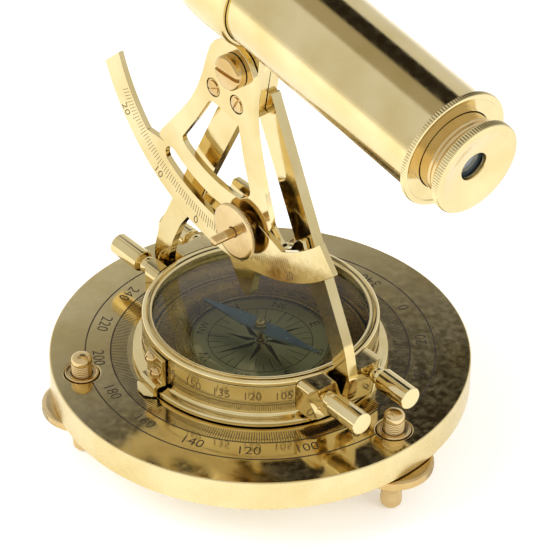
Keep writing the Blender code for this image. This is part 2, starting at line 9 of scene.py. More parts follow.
import bmesh
import bpy
from mathutils import Matrix, Vector


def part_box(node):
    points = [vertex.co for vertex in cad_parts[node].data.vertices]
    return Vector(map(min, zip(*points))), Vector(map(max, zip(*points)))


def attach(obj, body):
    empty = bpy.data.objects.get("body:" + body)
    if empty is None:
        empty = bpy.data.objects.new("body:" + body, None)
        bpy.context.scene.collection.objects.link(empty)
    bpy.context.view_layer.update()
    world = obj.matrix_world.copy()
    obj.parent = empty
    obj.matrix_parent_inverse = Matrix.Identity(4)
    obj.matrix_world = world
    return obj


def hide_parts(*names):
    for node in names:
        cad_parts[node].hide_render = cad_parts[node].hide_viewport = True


bl_info = {
    "name": "Brass Alidade",
    "version": (1, 0, 0),
    "blender": (4, 5, 0),
    "location": "3D View > Sidebar > Alidade",
    "description": "Builds the finished brass alidade round its packed frame",
    "category": "Object",
}

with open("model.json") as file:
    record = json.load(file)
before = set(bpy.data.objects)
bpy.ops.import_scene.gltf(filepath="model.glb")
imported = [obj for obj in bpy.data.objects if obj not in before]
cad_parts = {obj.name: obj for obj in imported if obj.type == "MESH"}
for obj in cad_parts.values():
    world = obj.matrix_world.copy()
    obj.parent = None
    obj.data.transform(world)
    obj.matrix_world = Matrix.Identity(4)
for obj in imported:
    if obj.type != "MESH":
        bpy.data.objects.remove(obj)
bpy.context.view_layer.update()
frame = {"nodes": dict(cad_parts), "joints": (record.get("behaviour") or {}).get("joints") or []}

MM = 0.001


def node_box(node):
    """Lowest and highest corner of a CAD node, in mm."""
    low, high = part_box(node)
    return low / MM, high / MM


JOINTS = {joint["name"]: joint for joint in frame["joints"]}
PLATE_LOW, PLATE_HIGH = node_box("base_plate")
BOX_LOW, BOX_HIGH = node_box("compass_box")
BEZEL_LOW, BEZEL_HIGH = node_box("bezel")
TUBE_LOW, TUBE_HIGH = node_box("centre_collar")

BASE_TOP = PLATE_HIGH.z
BASE_R = PLATE_HIGH.x
BOX_R = BEZEL_HIGH.x
PIVOT = Vector(JOINTS["telescope_tilt"]["pos_m"]) / MM
FOCUS_AXIS = Vector(JOINTS["eyepiece_focus"]["axis"])
TILT = atan2(-FOCUS_AXIS.z, FOCUS_AXIS.x)
TUBE_Y = (TUBE_LOW.y + TUBE_HIGH.y) / 2
COLLAR_R = (TUBE_HIGH.y - TUBE_LOW.y) / 2
TUBE_RISE = 35.2              # telescope's axis above the pivot
TUBE_R = 18.7
TUBE_BORE = 17.5
BARREL_END = 96.5             # along the telescope from above the pivot
STUD_R = 3.75
STUD_CIRCLE = 64.5
STUD_ANGLES = (6.0, 126.0, 243.5)
CLEAR = 0.3                   # clearance between pieces that touch
PROUD = 0.04                  # how far the engraved lines, dark with painted groove shade, stand off their surface

ON_BASE = Matrix.Translation((0.0, 0.0, BASE_TOP))
UPRIGHT = Matrix.Rotation(radians(90.0), 4, "X")        # local XY to world XZ, local Z to -Y
AT_PIVOT = Matrix.Translation(PIVOT) @ Matrix.Rotation(TILT, 4, "Y")
ALONG_TUBE = AT_PIVOT @ Matrix.Translation((0.0, TUBE_Y, TUBE_RISE)) @ Matrix.Rotation(radians(90.0), 4, "Y")


# ---------------------------------------------------------------- finishes

def linear(code):
    """Linear RGBA of an sRGB hex value such as #C9B878."""
    shares = [int(code[i:i + 2], 16) / 255.0 for i in (1, 3, 5)]
    return [s / 12.92 if s <= 0.04045 else ((s + 0.055) / 1.055) ** 2.4 for s in shares] + [1.0]


class AlidadeSizes(bpy.types.PropertyGroup):
    """Sizes of the small surface detail."""

    edge: bpy.props.FloatProperty(name="Edge rounding", description="Width of the broken edges on plates",
                                  default=0.35 * MM, min=0.0, unit="LENGTH")
    line: bpy.props.FloatProperty(name="Scale line", description="Width of the engraved degree lines",
                                  default=0.24 * MM, min=0.0, unit="LENGTH")
    circle: bpy.props.FloatProperty(name="Scale circle", description="Width of the engraved circles",
                                    default=0.5 * MM, min=0.0, unit="LENGTH")
    base_figures: bpy.props.FloatProperty(name="Base figures", description="Text size of the base's figures",
                                          default=5.9 * MM, min=0.0, unit="LENGTH")
    wall_figures: bpy.props.FloatProperty(name="Box figures",
                                          description="Text size of the box wall's figures",
                                          default=4.6 * MM, min=0.0, unit="LENGTH")
    arc_figures: bpy.props.FloatProperty(name="Arc figures",
                                         description="Text size of the degree arc's figures",
                                         default=4.8 * MM, min=0.0, unit="LENGTH")
    thread_pitch: bpy.props.FloatProperty(name="Thread pitch", description="Pitch of the levelling screws",
                                          default=0.8 * MM, min=0.0002, unit="LENGTH")


class AlidadeColours(bpy.types.PropertyGroup):
    """Colours of the brass and what goes with it."""

    brass: bpy.props.FloatVectorProperty(name="Brass", description="Polished brass where it is clean",
                                         size=4, subtype="COLOR", default=linear("#E4D2A0"))
    brass_deep: bpy.props.FloatVectorProperty(name="Brass, toned",
                                              description="Polished brass where it has toned",
                                              size=4, subtype="COLOR", default=linear("#D6C086"))
    screw: bpy.props.FloatVectorProperty(name="Screw brass", description="Turned screws and knurled nuts",
                                         size=4, subtype="COLOR", default=linear("#DEC694"))
    dial: bpy.props.FloatVectorProperty(name="Dial brass", description="Degree ring inside the box",
                                        size=4, subtype="COLOR", default=linear("#C7A866"))
    card: bpy.props.FloatVectorProperty(name="Compass card",
                                        description="Silvered and lacquered compass card",
                                        size=4, subtype="COLOR", default=linear("#D8CDA2"))
    # painted shade: this dark colour stands for the shade inside the engraved grooves
    filler: bpy.props.FloatVectorProperty(name="Filler", description="Wax in the engraving",
                                          size=4, subtype="COLOR", default=linear("#2B2010"))
    needle: bpy.props.FloatVectorProperty(name="Needle steel", description="Blued and polished needle",
                                          size=4, subtype="COLOR", default=linear("#A9B7C6"))


def add_node(tree, kind, inputs=None, **settings):
    """Add a node; an input is a value or the socket that feeds it, by name or number."""
    made = tree.nodes.new(kind)
    for key, value in settings.items():
        setattr(made, key, value)
    for socket, value in (inputs or {}).items():
        if isinstance(value, bpy.types.NodeSocket):
            tree.links.new(value, made.inputs[socket])
        else:
            made.inputs[socket].default_value = value
    return made


def new_finish(name):
    """An empty node material and its tree."""
    material = bpy.data.materials.new(name)
    material.use_nodes = True
    material.node_tree.nodes.clear()
    return material, material.node_tree


def metal(name, clean, toned, smooth, rough, grain_mm=0.25, grain=0.06, stretch=(1.0, 1.0, 1.0), coat=0.0):
    """A bare metal: tone varies over about 25 mm, and fine grain varies its roughness and its surface."""
    material, tree = new_finish(name)
    place = add_node(tree, "ShaderNodeTexCoord").outputs["Object"]
    stretched = add_node(tree, "ShaderNodeMapping", {"Vector": place, "Scale": stretch}).outputs[0]
    tone = add_node(tree, "ShaderNodeTexNoise", {"Vector": place, "Scale": 1.0 / (25.0 * MM), "Detail": 3.0})
    spots = add_node(tree, "ShaderNodeTexNoise", {"Vector": place, "Scale": 1.0 / (2.5 * MM), "Detail": 5.0})
    fine = add_node(tree, "ShaderNodeTexNoise",
                    {"Vector": stretched, "Scale": 1.0 / (grain_mm * MM), "Detail": 2.0})
    toning = add_node(tree, "ShaderNodeMapRange", {0: tone.outputs[0], 1: 0.38, 2: 0.66, 3: 0.0, 4: 1.0})
    colour = add_node(tree, "ShaderNodeMix", {0: toning.outputs[0], 6: clean, 7: toned}, data_type="RGBA")
    haze = add_node(tree, "ShaderNodeMapRange", {0: spots.outputs[0], 1: 0.35, 2: 0.75, 3: smooth, 4: rough})
    height = add_node(tree, "ShaderNodeMath", {0: fine.outputs[0], 1: spots.outputs[0]}, operation="ADD")
    bump = add_node(tree, "ShaderNodeBump", {"Height": height.outputs[0], "Strength": grain,
                                             "Distance": 0.05 * MM})
    shader = add_node(tree, "ShaderNodeBsdfPrincipled",
                      {"Base Color": colour.outputs[2], "Metallic": 1.0, "Roughness": haze.outputs[0],
                       "Coat Weight": coat, "Coat Roughness": 0.05, "Normal": bump.outputs[0]})
    add_node(tree, "ShaderNodeOutputMaterial", {"Surface": shader.outputs[0]})
    return material


def filled_line(name, colour):
    """Dark colour for engraved lines, painted in as the shade inside their grooves: matt, and a little paler
    where it is worn.
    """
    material, tree = new_finish(name)
    place = add_node(tree, "ShaderNodeTexCoord").outputs["Object"]
    wear = add_node(tree, "ShaderNodeTexNoise", {"Vector": place, "Scale": 1.0 / (3.0 * MM), "Detail": 4.0})
    worn = add_node(tree, "ShaderNodeMapRange", {0: wear.outputs[0], 1: 0.5, 2: 0.85, 3: 0.0, 4: 0.35})
    mixed = add_node(tree, "ShaderNodeMix", {0: worn.outputs[0], 6: colour, 7: linear("#8A7442")},
                     data_type="RGBA")
    shader = add_node(tree, "ShaderNodeBsdfPrincipled", {"Base Color": mixed.outputs[2], "Roughness": 0.55})
    add_node(tree, "ShaderNodeOutputMaterial", {"Surface": shader.outputs[0]})
    return material


def window_glass(name):
    """Thin float glass: clear seen square on, mirror-like at a low angle, with faint dust in its gloss."""
    material, tree = new_finish(name)
    place = add_node(tree, "ShaderNodeTexCoord").outputs["Object"]
    dust = add_node(tree, "ShaderNodeTexNoise", {"Vector": place, "Scale": 1.0 / (4.0 * MM), "Detail": 6.0})
    haze = add_node(tree, "ShaderNodeMapRange", {0: dust.outputs[0], 1: 0.4, 2: 0.8, 3: 0.01, 4: 0.05})
    clear = add_node(tree, "ShaderNodeBsdfTransparent", {"Color": linear("#E6E9E4")})
    gloss = add_node(tree, "ShaderNodeBsdfPrincipled", {"Base Color": linear("#F4F8FF"), "Metallic": 1.0,
                                                        "Roughness": haze.outputs[0]})
    grazing = add_node(tree, "ShaderNodeLayerWeight", {"Blend": 0.5}).outputs["Facing"]
    curve = add_node(tree, "ShaderNodeMath", {0: grazing, 1: 4.0}, operation="POWER")
    edge = add_node(tree, "ShaderNodeMapRange", {0: curve.outputs[0], 1: 0.0, 2: 1.0, 3: 0.045, 4: 1.0})
    shown = add_node(tree, "ShaderNodeMixShader",
                     {0: edge.outputs[0], 1: clear.outputs[0], 2: gloss.outputs[0]})
    add_node(tree, "ShaderNodeOutputMaterial", {"Surface": shown.outputs[0]})
    return material


def coated_lens(name):
    """Crown glass with a bluish coating, over the dark inside of the tube."""
    material, tree = new_finish(name)
    place = add_node(tree, "ShaderNodeTexCoord").outputs["Object"]
    film = add_node(tree, "ShaderNodeTexNoise", {"Vector": place, "Scale": 1.0 / (12.0 * MM), "Detail": 1.0})
    tint = add_node(tree, "ShaderNodeMix", {0: film.outputs[0], 6: linear("#39434A"), 7: linear("#56636B")},
                    data_type="RGBA")
    shader = add_node(tree, "ShaderNodeBsdfPrincipled",
                      {"Base Color": tint.outputs[2], "Roughness": 0.04, "IOR": 1.52, "Coat Weight": 1.0,
                       "Coat Roughness": 0.02})
    add_node(tree, "ShaderNodeOutputMaterial", {"Surface": shader.outputs[0]})
    return material


def blackened(name):
    """Matt black paint inside a telescope tube."""
    material, tree = new_finish(name)
    place = add_node(tree, "ShaderNodeTexCoord").outputs["Object"]
    grit = add_node(tree, "ShaderNodeTexNoise", {"Vector": place, "Scale": 1.0 / (0.4 * MM), "Detail": 3.0})
    bump = add_node(tree, "ShaderNodeBump",
                    {"Height": grit.outputs[0], "Strength": 0.3, "Distance": 0.05 * MM})
    shader = add_node(tree, "ShaderNodeBsdfPrincipled",
                      {"Base Color": linear("#1C1915"), "Roughness": 0.7, "Normal": bump.outputs[0]})
    add_node(tree, "ShaderNodeOutputMaterial", {"Surface": shader.outputs[0]})
    return material


FINISHES = {}


def make_finishes(colours):
    """Every finish of the instrument, by a maker's name."""
    brass, deep = colours.brass, colours.brass_deep
    # sheet and tube brass, buffed to a mirror and lacquered: clear reflections with a slight haze
    FINISHES["polished_brass"] = metal("polished_lacquered_brass", brass, deep, 0.06, 0.16)
    # the tube, buffed along its length, so reflections spread a little across it
    FINISHES["tube_brass"] = metal("buffed_brass_tube", brass, deep, 0.10, 0.18, stretch=(0.06, 1.0, 1.0),
                                   grain=0.10)
    # the base's rim, faced on a lathe and brushed: a soft sheen with upright streaks
    FINISHES["brushed_brass"] = metal("brushed_brass_rim", brass, deep, 0.24, 0.32, grain_mm=0.8, grain=0.05,
                                      stretch=(1.0, 1.0, 0.04))
    # turned screws and nuts: warmer, less polished, fine tool marks
    FINISHES["screw_brass"] = metal("turned_screw_brass", colours.screw, linear("#C4A368"), 0.14, 0.26,
                                    grain_mm=0.18, grain=0.12)
    # etched ring under the glass: never buffed, so it is darker and duller
    FINISHES["dial_brass"] = metal("etched_dial_brass", colours.dial, linear("#96783F"), 0.22, 0.36,
                                   grain=0.15)
    # compass card: silvered brass, satin
    FINISHES["card"] = metal("silvered_card_brass", colours.card, linear("#C2B684"), 0.30, 0.40, grain=0.1)
    # needle: tempered steel, polished over the blue
    FINISHES["needle_steel"] = metal("blued_needle_steel", colours.needle, linear("#7F90A6"), 0.20, 0.30,
                                     stretch=(0.1, 1.0, 1.0))
    # painted shade: the black engraved lines on the base, dial and card stand for the shade inside their
    # grooves
    FINISHES["filler"] = filled_line("black_painted_groove_shade", colours.filler)
    # painted shade: the brown engraved lines on the box wall and the degree arc stand for the shade inside
    # their grooves
    FINISHES["gold_groove_shade"] = filled_line("brown_painted_groove_shade", linear("#5A431C"))
    FINISHES["window"] = window_glass("float_glass")
    FINISHES["lens"] = coated_lens("coated_crown_glass")
    FINISHES["black_paint"] = blackened("matt_black_tube_paint")


# ---------------------------------------------------------------- drawing and shaping, in mm

def polar(radius, degrees):
    """A point from the pivot; the angle is from straight down, positive towards +X."""
    return (radius * sin(radians(degrees)), -radius * cos(radians(degrees)))


def arc(radius, start, end, count, centre=(0.0, 0.0)):
    points = [polar(radius, start + (end - start) * i / count) for i in range(count + 1)]
    return [(centre[0] + x, centre[1] + y) for x, y in points]


def circle(radius, centre=(0.0, 0.0), count=48):
    return [(centre[0] + radius * cos(2 * pi * i / count), centre[1] + radius * sin(2 * pi * i / count))
            for i in range(count)]


def rounded(corners, steps=6):
    """An outline whose corners, given as (x, y, radius), are eased by a curve; a corner without one stays."""
    ring = []
    for i, corner in enumerate(corners):
        here = Vector(corner[:2])
        radius = corner[2] if len(corner) > 2 else 0.0
        if not radius:
            ring.append(tuple(here))
            continue
        back = Vector(corners[i - 1][:2]) - here
        ahead = Vector(corners[(i + 1) % len(corners)][:2]) - here
        reach = min(radius / tan(back.angle(ahead) / 2), 0.48 * back.length, 0.48 * ahead.length)
        start, end = here + back.normalized() * reach, here + ahead.normalized() * reach
        for k in range(steps + 1):
            t = k / steps
            ring.append(tuple(start * (1 - t) ** 2 + here * 2 * t * (1 - t) + end * t ** 2))
    return ring


def eased(corners, radius, steps=6):
    """rounded() with the same radius at every corner."""
    return rounded([(x, y, radius) for x, y in corners], steps)


def curved_profile(centre, radius, start, end, count=6):
    """Points of a turned profile on an arc; angles from +radius, anticlockwise towards +height."""
    return [(centre[0] + radius * cos(radians(start + (end - start) * i / count)),
             centre[1] + radius * sin(radians(start + (end - start) * i / count))) for i in range(count + 1)]


def thread(radius, high, low, pitch, depth):
    """Profile of a thread, drawn as rings a pitch apart, from high to low."""
    count = int((high - low) / pitch)
    points = []
    for i in range(count):
        top = high - i * pitch
        points += [(radius, top), (radius, top - 0.35 * pitch), (radius - depth, top - 0.7 * pitch)]
    return points + [(radius, low)]


def turn_into(shape, profile, steps):
    """Spin a profile of (radius, height) points about local Z inside a shape."""
    verts = [shape.verts.new((radius, 0.0, height)) for radius, height in profile]
    edges = [shape.edges.new(pair) for pair in zip(verts, verts[1:])]
    if profile[0][0] > 0.0:
        edges.append(shape.edges.new((verts[-1], verts[0])))
    bmesh.ops.spin(shape, geom=verts + edges, cent=(0, 0, 0), axis=(0, 0, 1), dvec=(0, 0, 0), angle=2 * pi,
                   steps=steps, use_merge=True)


def turned(profile, steps=96):
    """A closed body turned about local Z."""
    shape = bmesh.new()
    turn_into(shape, profile, steps)
    bmesh.ops.remove_doubles(shape, verts=shape.verts, dist=0.0005)
    bmesh.ops.recalc_face_normals(shape, faces=shape.faces)
    return shape


def plate(outline, holes, low, high):
    """A flat outline with holes, from local height low to high."""
    shape = bmesh.new()
    for ring in [outline, *holes]:
        verts = [shape.verts.new((x, y, low)) for x, y in ring]
        for pair in zip(verts, verts[1:] + verts[:1]):
            shape.edges.new(pair)
    bmesh.ops.triangle_fill(shape, use_beauty=True, use_dissolve=False, edges=shape.edges)
    inner = [edge for edge in shape.edges if len(edge.link_faces) == 2]
    bmesh.ops.dissolve_limit(shape, angle_limit=radians(0.5), verts=[], edges=inner)
    grown = bmesh.ops.extrude_face_region(shape, geom=shape.faces[:])
    top = [item for item in grown["geom"] if isinstance(item, bmesh.types.BMVert)]
    bmesh.ops.translate(shape, vec=(0.0, 0.0, high - low), verts=top)
    bmesh.ops.recalc_face_normals(shape, faces=shape.faces)
    return shape


def soften(shape, width, segments=3, sharper_than=32.0):
    """Round every edge that is sharper than an angle."""
    sharp = [edge for edge in shape.edges
             if edge.is_manifold and edge.calc_face_angle(0.0) > radians(sharper_than)]
    bmesh.ops.bevel(shape, geom=sharp, offset=width, offset_type="OFFSET", segments=segments, profile=0.5,
                    affect="EDGES", material=-1, clamp_overlap=True)
    return shape


def knurl(shape, teeth, depth, inside, low, high):
    """Cut teeth into a rim that was turned with two steps to a tooth."""
    for vert in shape.verts:
        radius = hypot(vert.co.x, vert.co.y)
        if radius > inside and low <= vert.co.z <= high and round(atan2(vert.co.y,
                                                                        vert.co.x) * teeth / pi) % 2:
            vert.co.x *= 1.0 - depth / radius
            vert.co.y *= 1.0 - depth / radius
    return shape


def absorb(shape, other):
    """Put another shape into a shape."""
    mesh = bpy.data.meshes.new("absorbed")
    other.to_mesh(mesh)
    other.free()
    shape.from_mesh(mesh)
    bpy.data.meshes.remove(mesh)


def slotted_head(profile, slot, depth, steps=48):
    """A screw head about local Z from its outer profile, top first, with a slot along local X."""
    top = profile[0][1]
    floor = top - depth
    crown = [point for point in profile if point[1] > floor]
    rim = crown[-1][0]
    shape = turned([(0.0, floor), (rim, floor)] + [point for point in profile if point[1] <= floor], steps)
    for side in (1.0, -1.0):
        cheek = turned(crown + [(rim, floor), (0.0, floor)], steps)
        bmesh.ops.bisect_plane(cheek, geom=cheek.verts[:] + cheek.edges[:] + cheek.faces[:],
                               plane_co=(0.0, side * slot / 2, 0.0), plane_no=(0.0, -side, 0.0),
                               clear_outer=True)
        bmesh.ops.holes_fill(cheek, edges=cheek.edges, sides=0)
        bmesh.ops.recalc_face_normals(cheek, faces=cheek.faces)
        absorb(shape, cheek)
    return shape


def stroke(shape, place, length, width):
    """One engraved line, dark with painted groove shade: a bar along local X, half sunk in the surface."""
    size = Matrix.Diagonal((length, width, 2 * PROUD, 1.0))
    bmesh.ops.create_cube(shape, size=1.0, matrix=place @ size)


def circle_line(shape, radius, height, width, steps=180):
    """An engraved circle about local Z, dark with painted groove shade."""
    turn_into(shape, [(radius - width / 2, height + PROUD), (radius + width / 2, height + PROUD),
                      (radius + width / 2, height - PROUD), (radius - width / 2, height - PROUD)], steps)


def figures(shape, text, size, place, wrap=0.0):
    """Raised figures centred on a place; wrap bends them round a cylinder of that radius."""
    curve = bpy.data.curves.new("figures", "FONT")
    curve.body = text
    curve.size = size
    curve.align_x = "CENTER"
    curve.align_y = "CENTER"
    curve.extrude = PROUD
    curve.offset = -0.006 * size
    curve.resolution_u = 3
    holder = bpy.data.objects.new("figures", curve)
    bpy.context.scene.collection.objects.link(holder)
    bpy.context.view_layer.update()
    mesh = bpy.data.meshes.new_from_object(holder.evaluated_get(bpy.context.evaluated_depsgraph_get()))
    bpy.data.objects.remove(holder)
    bpy.data.curves.remove(curve)
    if wrap:
        for vert in mesh.vertices:
            angle, reach = vert.co.x / wrap, wrap + vert.co.z
            vert.co = (reach * sin(angle), vert.co.y, reach * cos(angle) - wrap)
    mesh.transform(place)
    shape.from_mesh(mesh)
    bpy.data.meshes.remove(mesh)


def around(degrees, radius, height):
    """A place on the base's surfaces at a row angle: local X along the circle, local Y towards the centre."""
    return (Matrix.Translation((0.0, 0.0, height)) @ Matrix.Rotation(radians(degrees + 90.0), 4, "Z")
            @ Matrix.Translation((0.0, -radius, 0.0)))


def piece(name, shape, body, finishes, nodes=(), place=ON_BASE, sharper_than=38.0):
    """Finish a shape as an object in the row frame: it rides on a body and stands for CAD nodes."""
    shape.transform(Matrix.Scale(MM, 4) @ place)
    mesh = bpy.data.meshes.new(name)
    shape.to_mesh(mesh)
    shape.free()
    mesh.shade_smooth()
    mesh.set_sharp_from_angle(angle=radians(sharper_than))
    for finish in finishes:
        mesh.materials.append(FINISHES[finish])
    item = bpy.data.objects.new(name, mesh)
    bpy.context.scene.collection.objects.link(item)
    flat = item.modifiers.new("flat_faces", "WEIGHTED_NORMAL")
    flat.keep_sharp = True
    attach(item, body)
    if nodes:
        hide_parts(*nodes)
    return item


def inlay(name, shape, body, place=ON_BASE, finish="filler"):
    """Finish a shape as engraving whose dark colour is painted groove shade."""
    bmesh.ops.remove_doubles(shape, verts=shape.verts, dist=0.0005)
    bmesh.ops.recalc_face_normals(shape, faces=shape.faces)
    return piece(name, shape, body, [finish], place=place)


def upright_plate(frame_place, y_high):
    """Placement of a plate drawn from height 0 up: it stands upright, from Y = y_high towards -Y."""
    return frame_place @ Matrix.Translation((0.0, y_high, 0.0)) @ UPRIGHT


def along(direction, place):
    """Placement that turns local Z to a direction, with the local origin at a place."""
    turn = Vector((0.0, 0.0, 1.0)).rotation_difference(Vector(direction)).to_matrix().to_4x4()
    return Matrix.Translation(place) @ turn


def depth_of(node):
    """Lowest and highest Y of a CAD node."""
    low, high = node_box(node)
    return low.y, high.y


# ---------------------------------------------------------------- base

class ALIDADE_OT_base(bpy.types.Operator):
    """Build the round base plate with its pressed bushes"""

    bl_idname = "alidade.base"
    bl_label = "Base Plate"

    def execute(self, context):
        studs = [(STUD_CIRCLE * cos(radians(a)), STUD_CIRCLE * sin(radians(a))) for a in STUD_ANGLES]
        holes = [circle(6.0 + CLEAR, place) for place in studs] + [circle(4.0 + CLEAR)]
        thickness = PLATE_HIGH.z - PLATE_LOW.z
        shape = soften(plate(circle(BASE_R, count=240), holes, -thickness, 0.0), 0.6)
        for face in shape.faces:
            middle = face.calc_center_median()
            face.material_index = int(hypot(middle.x, middle.y) > BASE_R - 0.1)
        piece("base_plate_finished", shape, "base", ["polished_brass", "brushed_brass"], ["base_plate"])
        for i, (x, y) in enumerate(studs, 1):
            bush = turned([(STUD_R + CLEAR, 0.1), (4.9, 0.1), (5.1, 0.45), (5.4, 0.5), (5.7, 0.5), (6.0, 0.2),
                           (6.0, 0.2 - thickness), (STUD_R + CLEAR, 0.2 - thickness)], 64)
            place = ON_BASE @ Matrix.Translation((x, y, 0.0))
            piece(f"bush_{i}_finished", bush, "base", ["screw_brass"], [f"levelling_bush_{i}"], place)
        return {"FINISHED"}


class ALIDADE_OT_base_scale(bpy.types.Operator):
    """Engrave the base: two circles, a line for each degree and figures every 20 degrees"""

    bl_idname = "alidade.base_scale"
    bl_label = "Base Scale"

    def execute(self, context):
        sizes = context.scene.alidade_sizes
        shape = bmesh.new()
        circle_line(shape, 62.2, 0.0, sizes.circle / MM)
        circle_line(shape, 53.2, 0.0, sizes.circle / MM)
        low, high = 47.4, 53.0
        for degree in range(360):
            place = around(degree, (low + high) / 2, 0.0) @ Matrix.Rotation(radians(90.0), 4, "Z")
            stroke(shape, place, high - low, sizes.line / MM)
        for number in range(0, 360, 20):
            figures(shape, str(number), sizes.base_figures / MM, around(76.4 - number, 57.7, 0.0))
        inlay("base_scale", shape, "base")
        return {"FINISHED"}


class ALIDADE_OT_levelling(bpy.types.Operator):
    """Build the three levelling screws and their knurled wheels"""

    bl_idname = "alidade.levelling"
    bl_label = "Levelling Screws"

    def execute(self, context):
        pitch = context.scene.alidade_sizes.thread_pitch / MM
        for i, degrees in enumerate(STUD_ANGLES, 1):
            low, high = node_box(f"levelling_screw_{i}")
            x, y = STUD_CIRCLE * cos(radians(degrees)), STUD_CIRCLE * sin(radians(degrees))
            place = Matrix.Translation((x, y, 0.0))
            dome = [(0.0, high.z), (1.3, high.z - 0.12), (2.5, high.z - 0.5), (3.3, high.z - 1.1),
                    (STUD_R, high.z - 2.0)]
            shank = thread(STUD_R, high.z - 3.2, 6.0, pitch, 0.16)
            foot = [(STUD_R, 4.6), (3.9, 4.2), (3.9, 2.2), (3.65, 1.3), (3.0, 0.5), (2.2, 0.0), (0.0, 0.0)]
            piece(f"levelling_screw_{i}_finished", turned(dome + shank + foot, 48), f"levelling_post_{i}",
                  ["screw_brass"], [f"levelling_screw_{i}"], place, 60.0)
            low, high = node_box(f"levelling_wheel_{i}")
            teeth = 60
            rim = [(STUD_R + CLEAR, high.z), (12.9, high.z), (13.7, high.z - 0.2), (14.3, high.z - 0.6),
                   (14.5, high.z - 1.0), (14.5, low.z + 1.0), (14.3, low.z + 0.6), (13.7, low.z + 0.2),
                   (12.9, low.z), (STUD_R + CLEAR, low.z)]
            wheel = knurl(turned(rim, 2 * teeth), teeth, 0.4, 14.4, low.z, high.z)
            piece(f"levelling_wheel_{i}_finished", wheel, f"levelling_wheel_{i}", ["screw_brass"],
                  [f"levelling_wheel_{i}"], place)
        return {"FINISHED"}


# ---------------------------------------------------------------- compass

class ALIDADE_OT_compass_box(bpy.types.Operator):
    """Build the turned compass box with its bezel and glass"""

    bl_idname = "alidade.compass_box"
    bl_label = "Compass Box"

    def execute(self, context):
        wall_top = BOX_HIGH.z - BASE_TOP
        box = [(0.0, 2.6), (38.3, 2.6), (38.3, 13.3), (39.6, 13.3), (39.6, wall_top), (BOX_R, wall_top),
               (BOX_R, 4.5), (42.15, 3.8), (42.5, 3.35), (43.0, 3.1), (44.2, 2.9), (45.1, 2.6), (45.5, 2.1),
               (45.5, 0.9), (45.2, 0.5), (43.5, 0.5), (43.0, 1.2), (0.0, 1.2)]
        piece("compass_box_finished", soften(turned(box, 192), 0.12, 2), "alidade", ["polished_brass"],
              ["compass_box"])
        top = BEZEL_HIGH.z - BASE_TOP
        bezel = [(38.3, top - 2.3), (38.3, top - 1.0)] + curved_profile((39.3, top - 1.0), 1.0, 180, 90) + \
            [(39.9, top), (40.15, top - 0.4), (40.5, top - 0.05)] + \
            curved_profile((BOX_R - 1.2, top - 1.25), 1.2, 80, 0) + [(BOX_R, top - 2.3)]
        piece("bezel_finished", turned(bezel, 192), "alidade", ["polished_brass"], ["bezel"])
        low, high = node_box("compass_glass")
        glass = [(0.0, high.z), (38.9, high.z), (high.x, high.z - 0.3), (high.x, low.z), (0.0, low.z)]
        piece("compass_glass_finished", turned(glass, 128), "alidade", ["window"], ["compass_glass"],
              Matrix())
        return {"FINISHED"}


class ALIDADE_OT_box_scale(bpy.types.Operator):
    """Engrave the box wall: a line round it, a mark for each degree and figures every 15 degrees"""

    bl_idname = "alidade.box_scale"
    bl_label = "Box Wall Scale"

    def execute(self, context):
        sizes = context.scene.alidade_sizes
        shape = bmesh.new()
        line = 7.6
        turn_into(shape, [(BOX_R - PROUD, line + 0.15), (BOX_R + PROUD, line + 0.15),
                          (BOX_R + PROUD, line - 0.15), (BOX_R - PROUD, line - 0.15)], 180)
        on_wall = Matrix.Translation((0.0, -BOX_R, 0.0)) @ UPRIGHT
        for degree in range(360):
            foot = 4.9 if degree % 5 == 0 else 5.6
            lift = Matrix.Translation((0.0, (foot + line) / 2, 0.0)) @ Matrix.Rotation(radians(90.0), 4, "Z")
            stroke(shape, Matrix.Rotation(radians(degree), 4, "Z") @ on_wall @ lift, line - foot, 0.16)
        for number in range(0, 360, 15):
            place = Matrix.Rotation(radians(166.4 - number), 4,
                                    "Z") @ on_wall @ Matrix.Translation((0, 11.0, 0))
            figures(shape, str(number), sizes.wall_figures / MM, place, BOX_R)
        inlay("box_scale", shape, "alidade", finish="gold_groove_shade")
        return {"FINISHED"}


NORTH = 167.0                 # row angle of the card's north


class ALIDADE_OT_dial(bpy.types.Operator):
    """Build the degree ring inside the box, with its scale"""

    bl_idname = "alidade.dial"
    bl_label = "Dial Ring"

    def execute(self, context):
        low, high = node_box("dial_plate")
        top = high.z - BASE_TOP
        ring = [(25.5, top - 0.2), (25.7, top), (high.x - 0.2, top), (high.x, top - 0.2),
                (high.x, low.z - BASE_TOP), (25.5, low.z - BASE_TOP)]
        piece("dial_plate_finished", turned(ring, 144), "alidade", ["dial_brass"], ["dial_plate"])
        shape = bmesh.new()
        for radius in (26.4, 30.6, 36.6):
            circle_line(shape, radius, top, 0.28)
        for degree in range(0, 360, 2):
            inner = 33.6 if degree % 10 == 0 else 34.8
            place = around(NORTH - degree, (inner + 36.5) / 2, top) @ Matrix.Rotation(radians(90.0), 4, "Z")
            stroke(shape, place, 36.5 - inner, 0.2)
        for degree in range(0, 360, 5):
            place = around(NORTH - degree, 31.2, top) @ Matrix.Rotation(radians(90.0), 4, "Z")
            stroke(shape, place, 1.0, 0.2)
        for number in range(0, 360, 10):
            figures(shape, str(number), 3.0, around(NORTH - number + 180.0, -28.6, top))
        inlay("dial_scale", shape, "alidade")
        return {"FINISHED"}


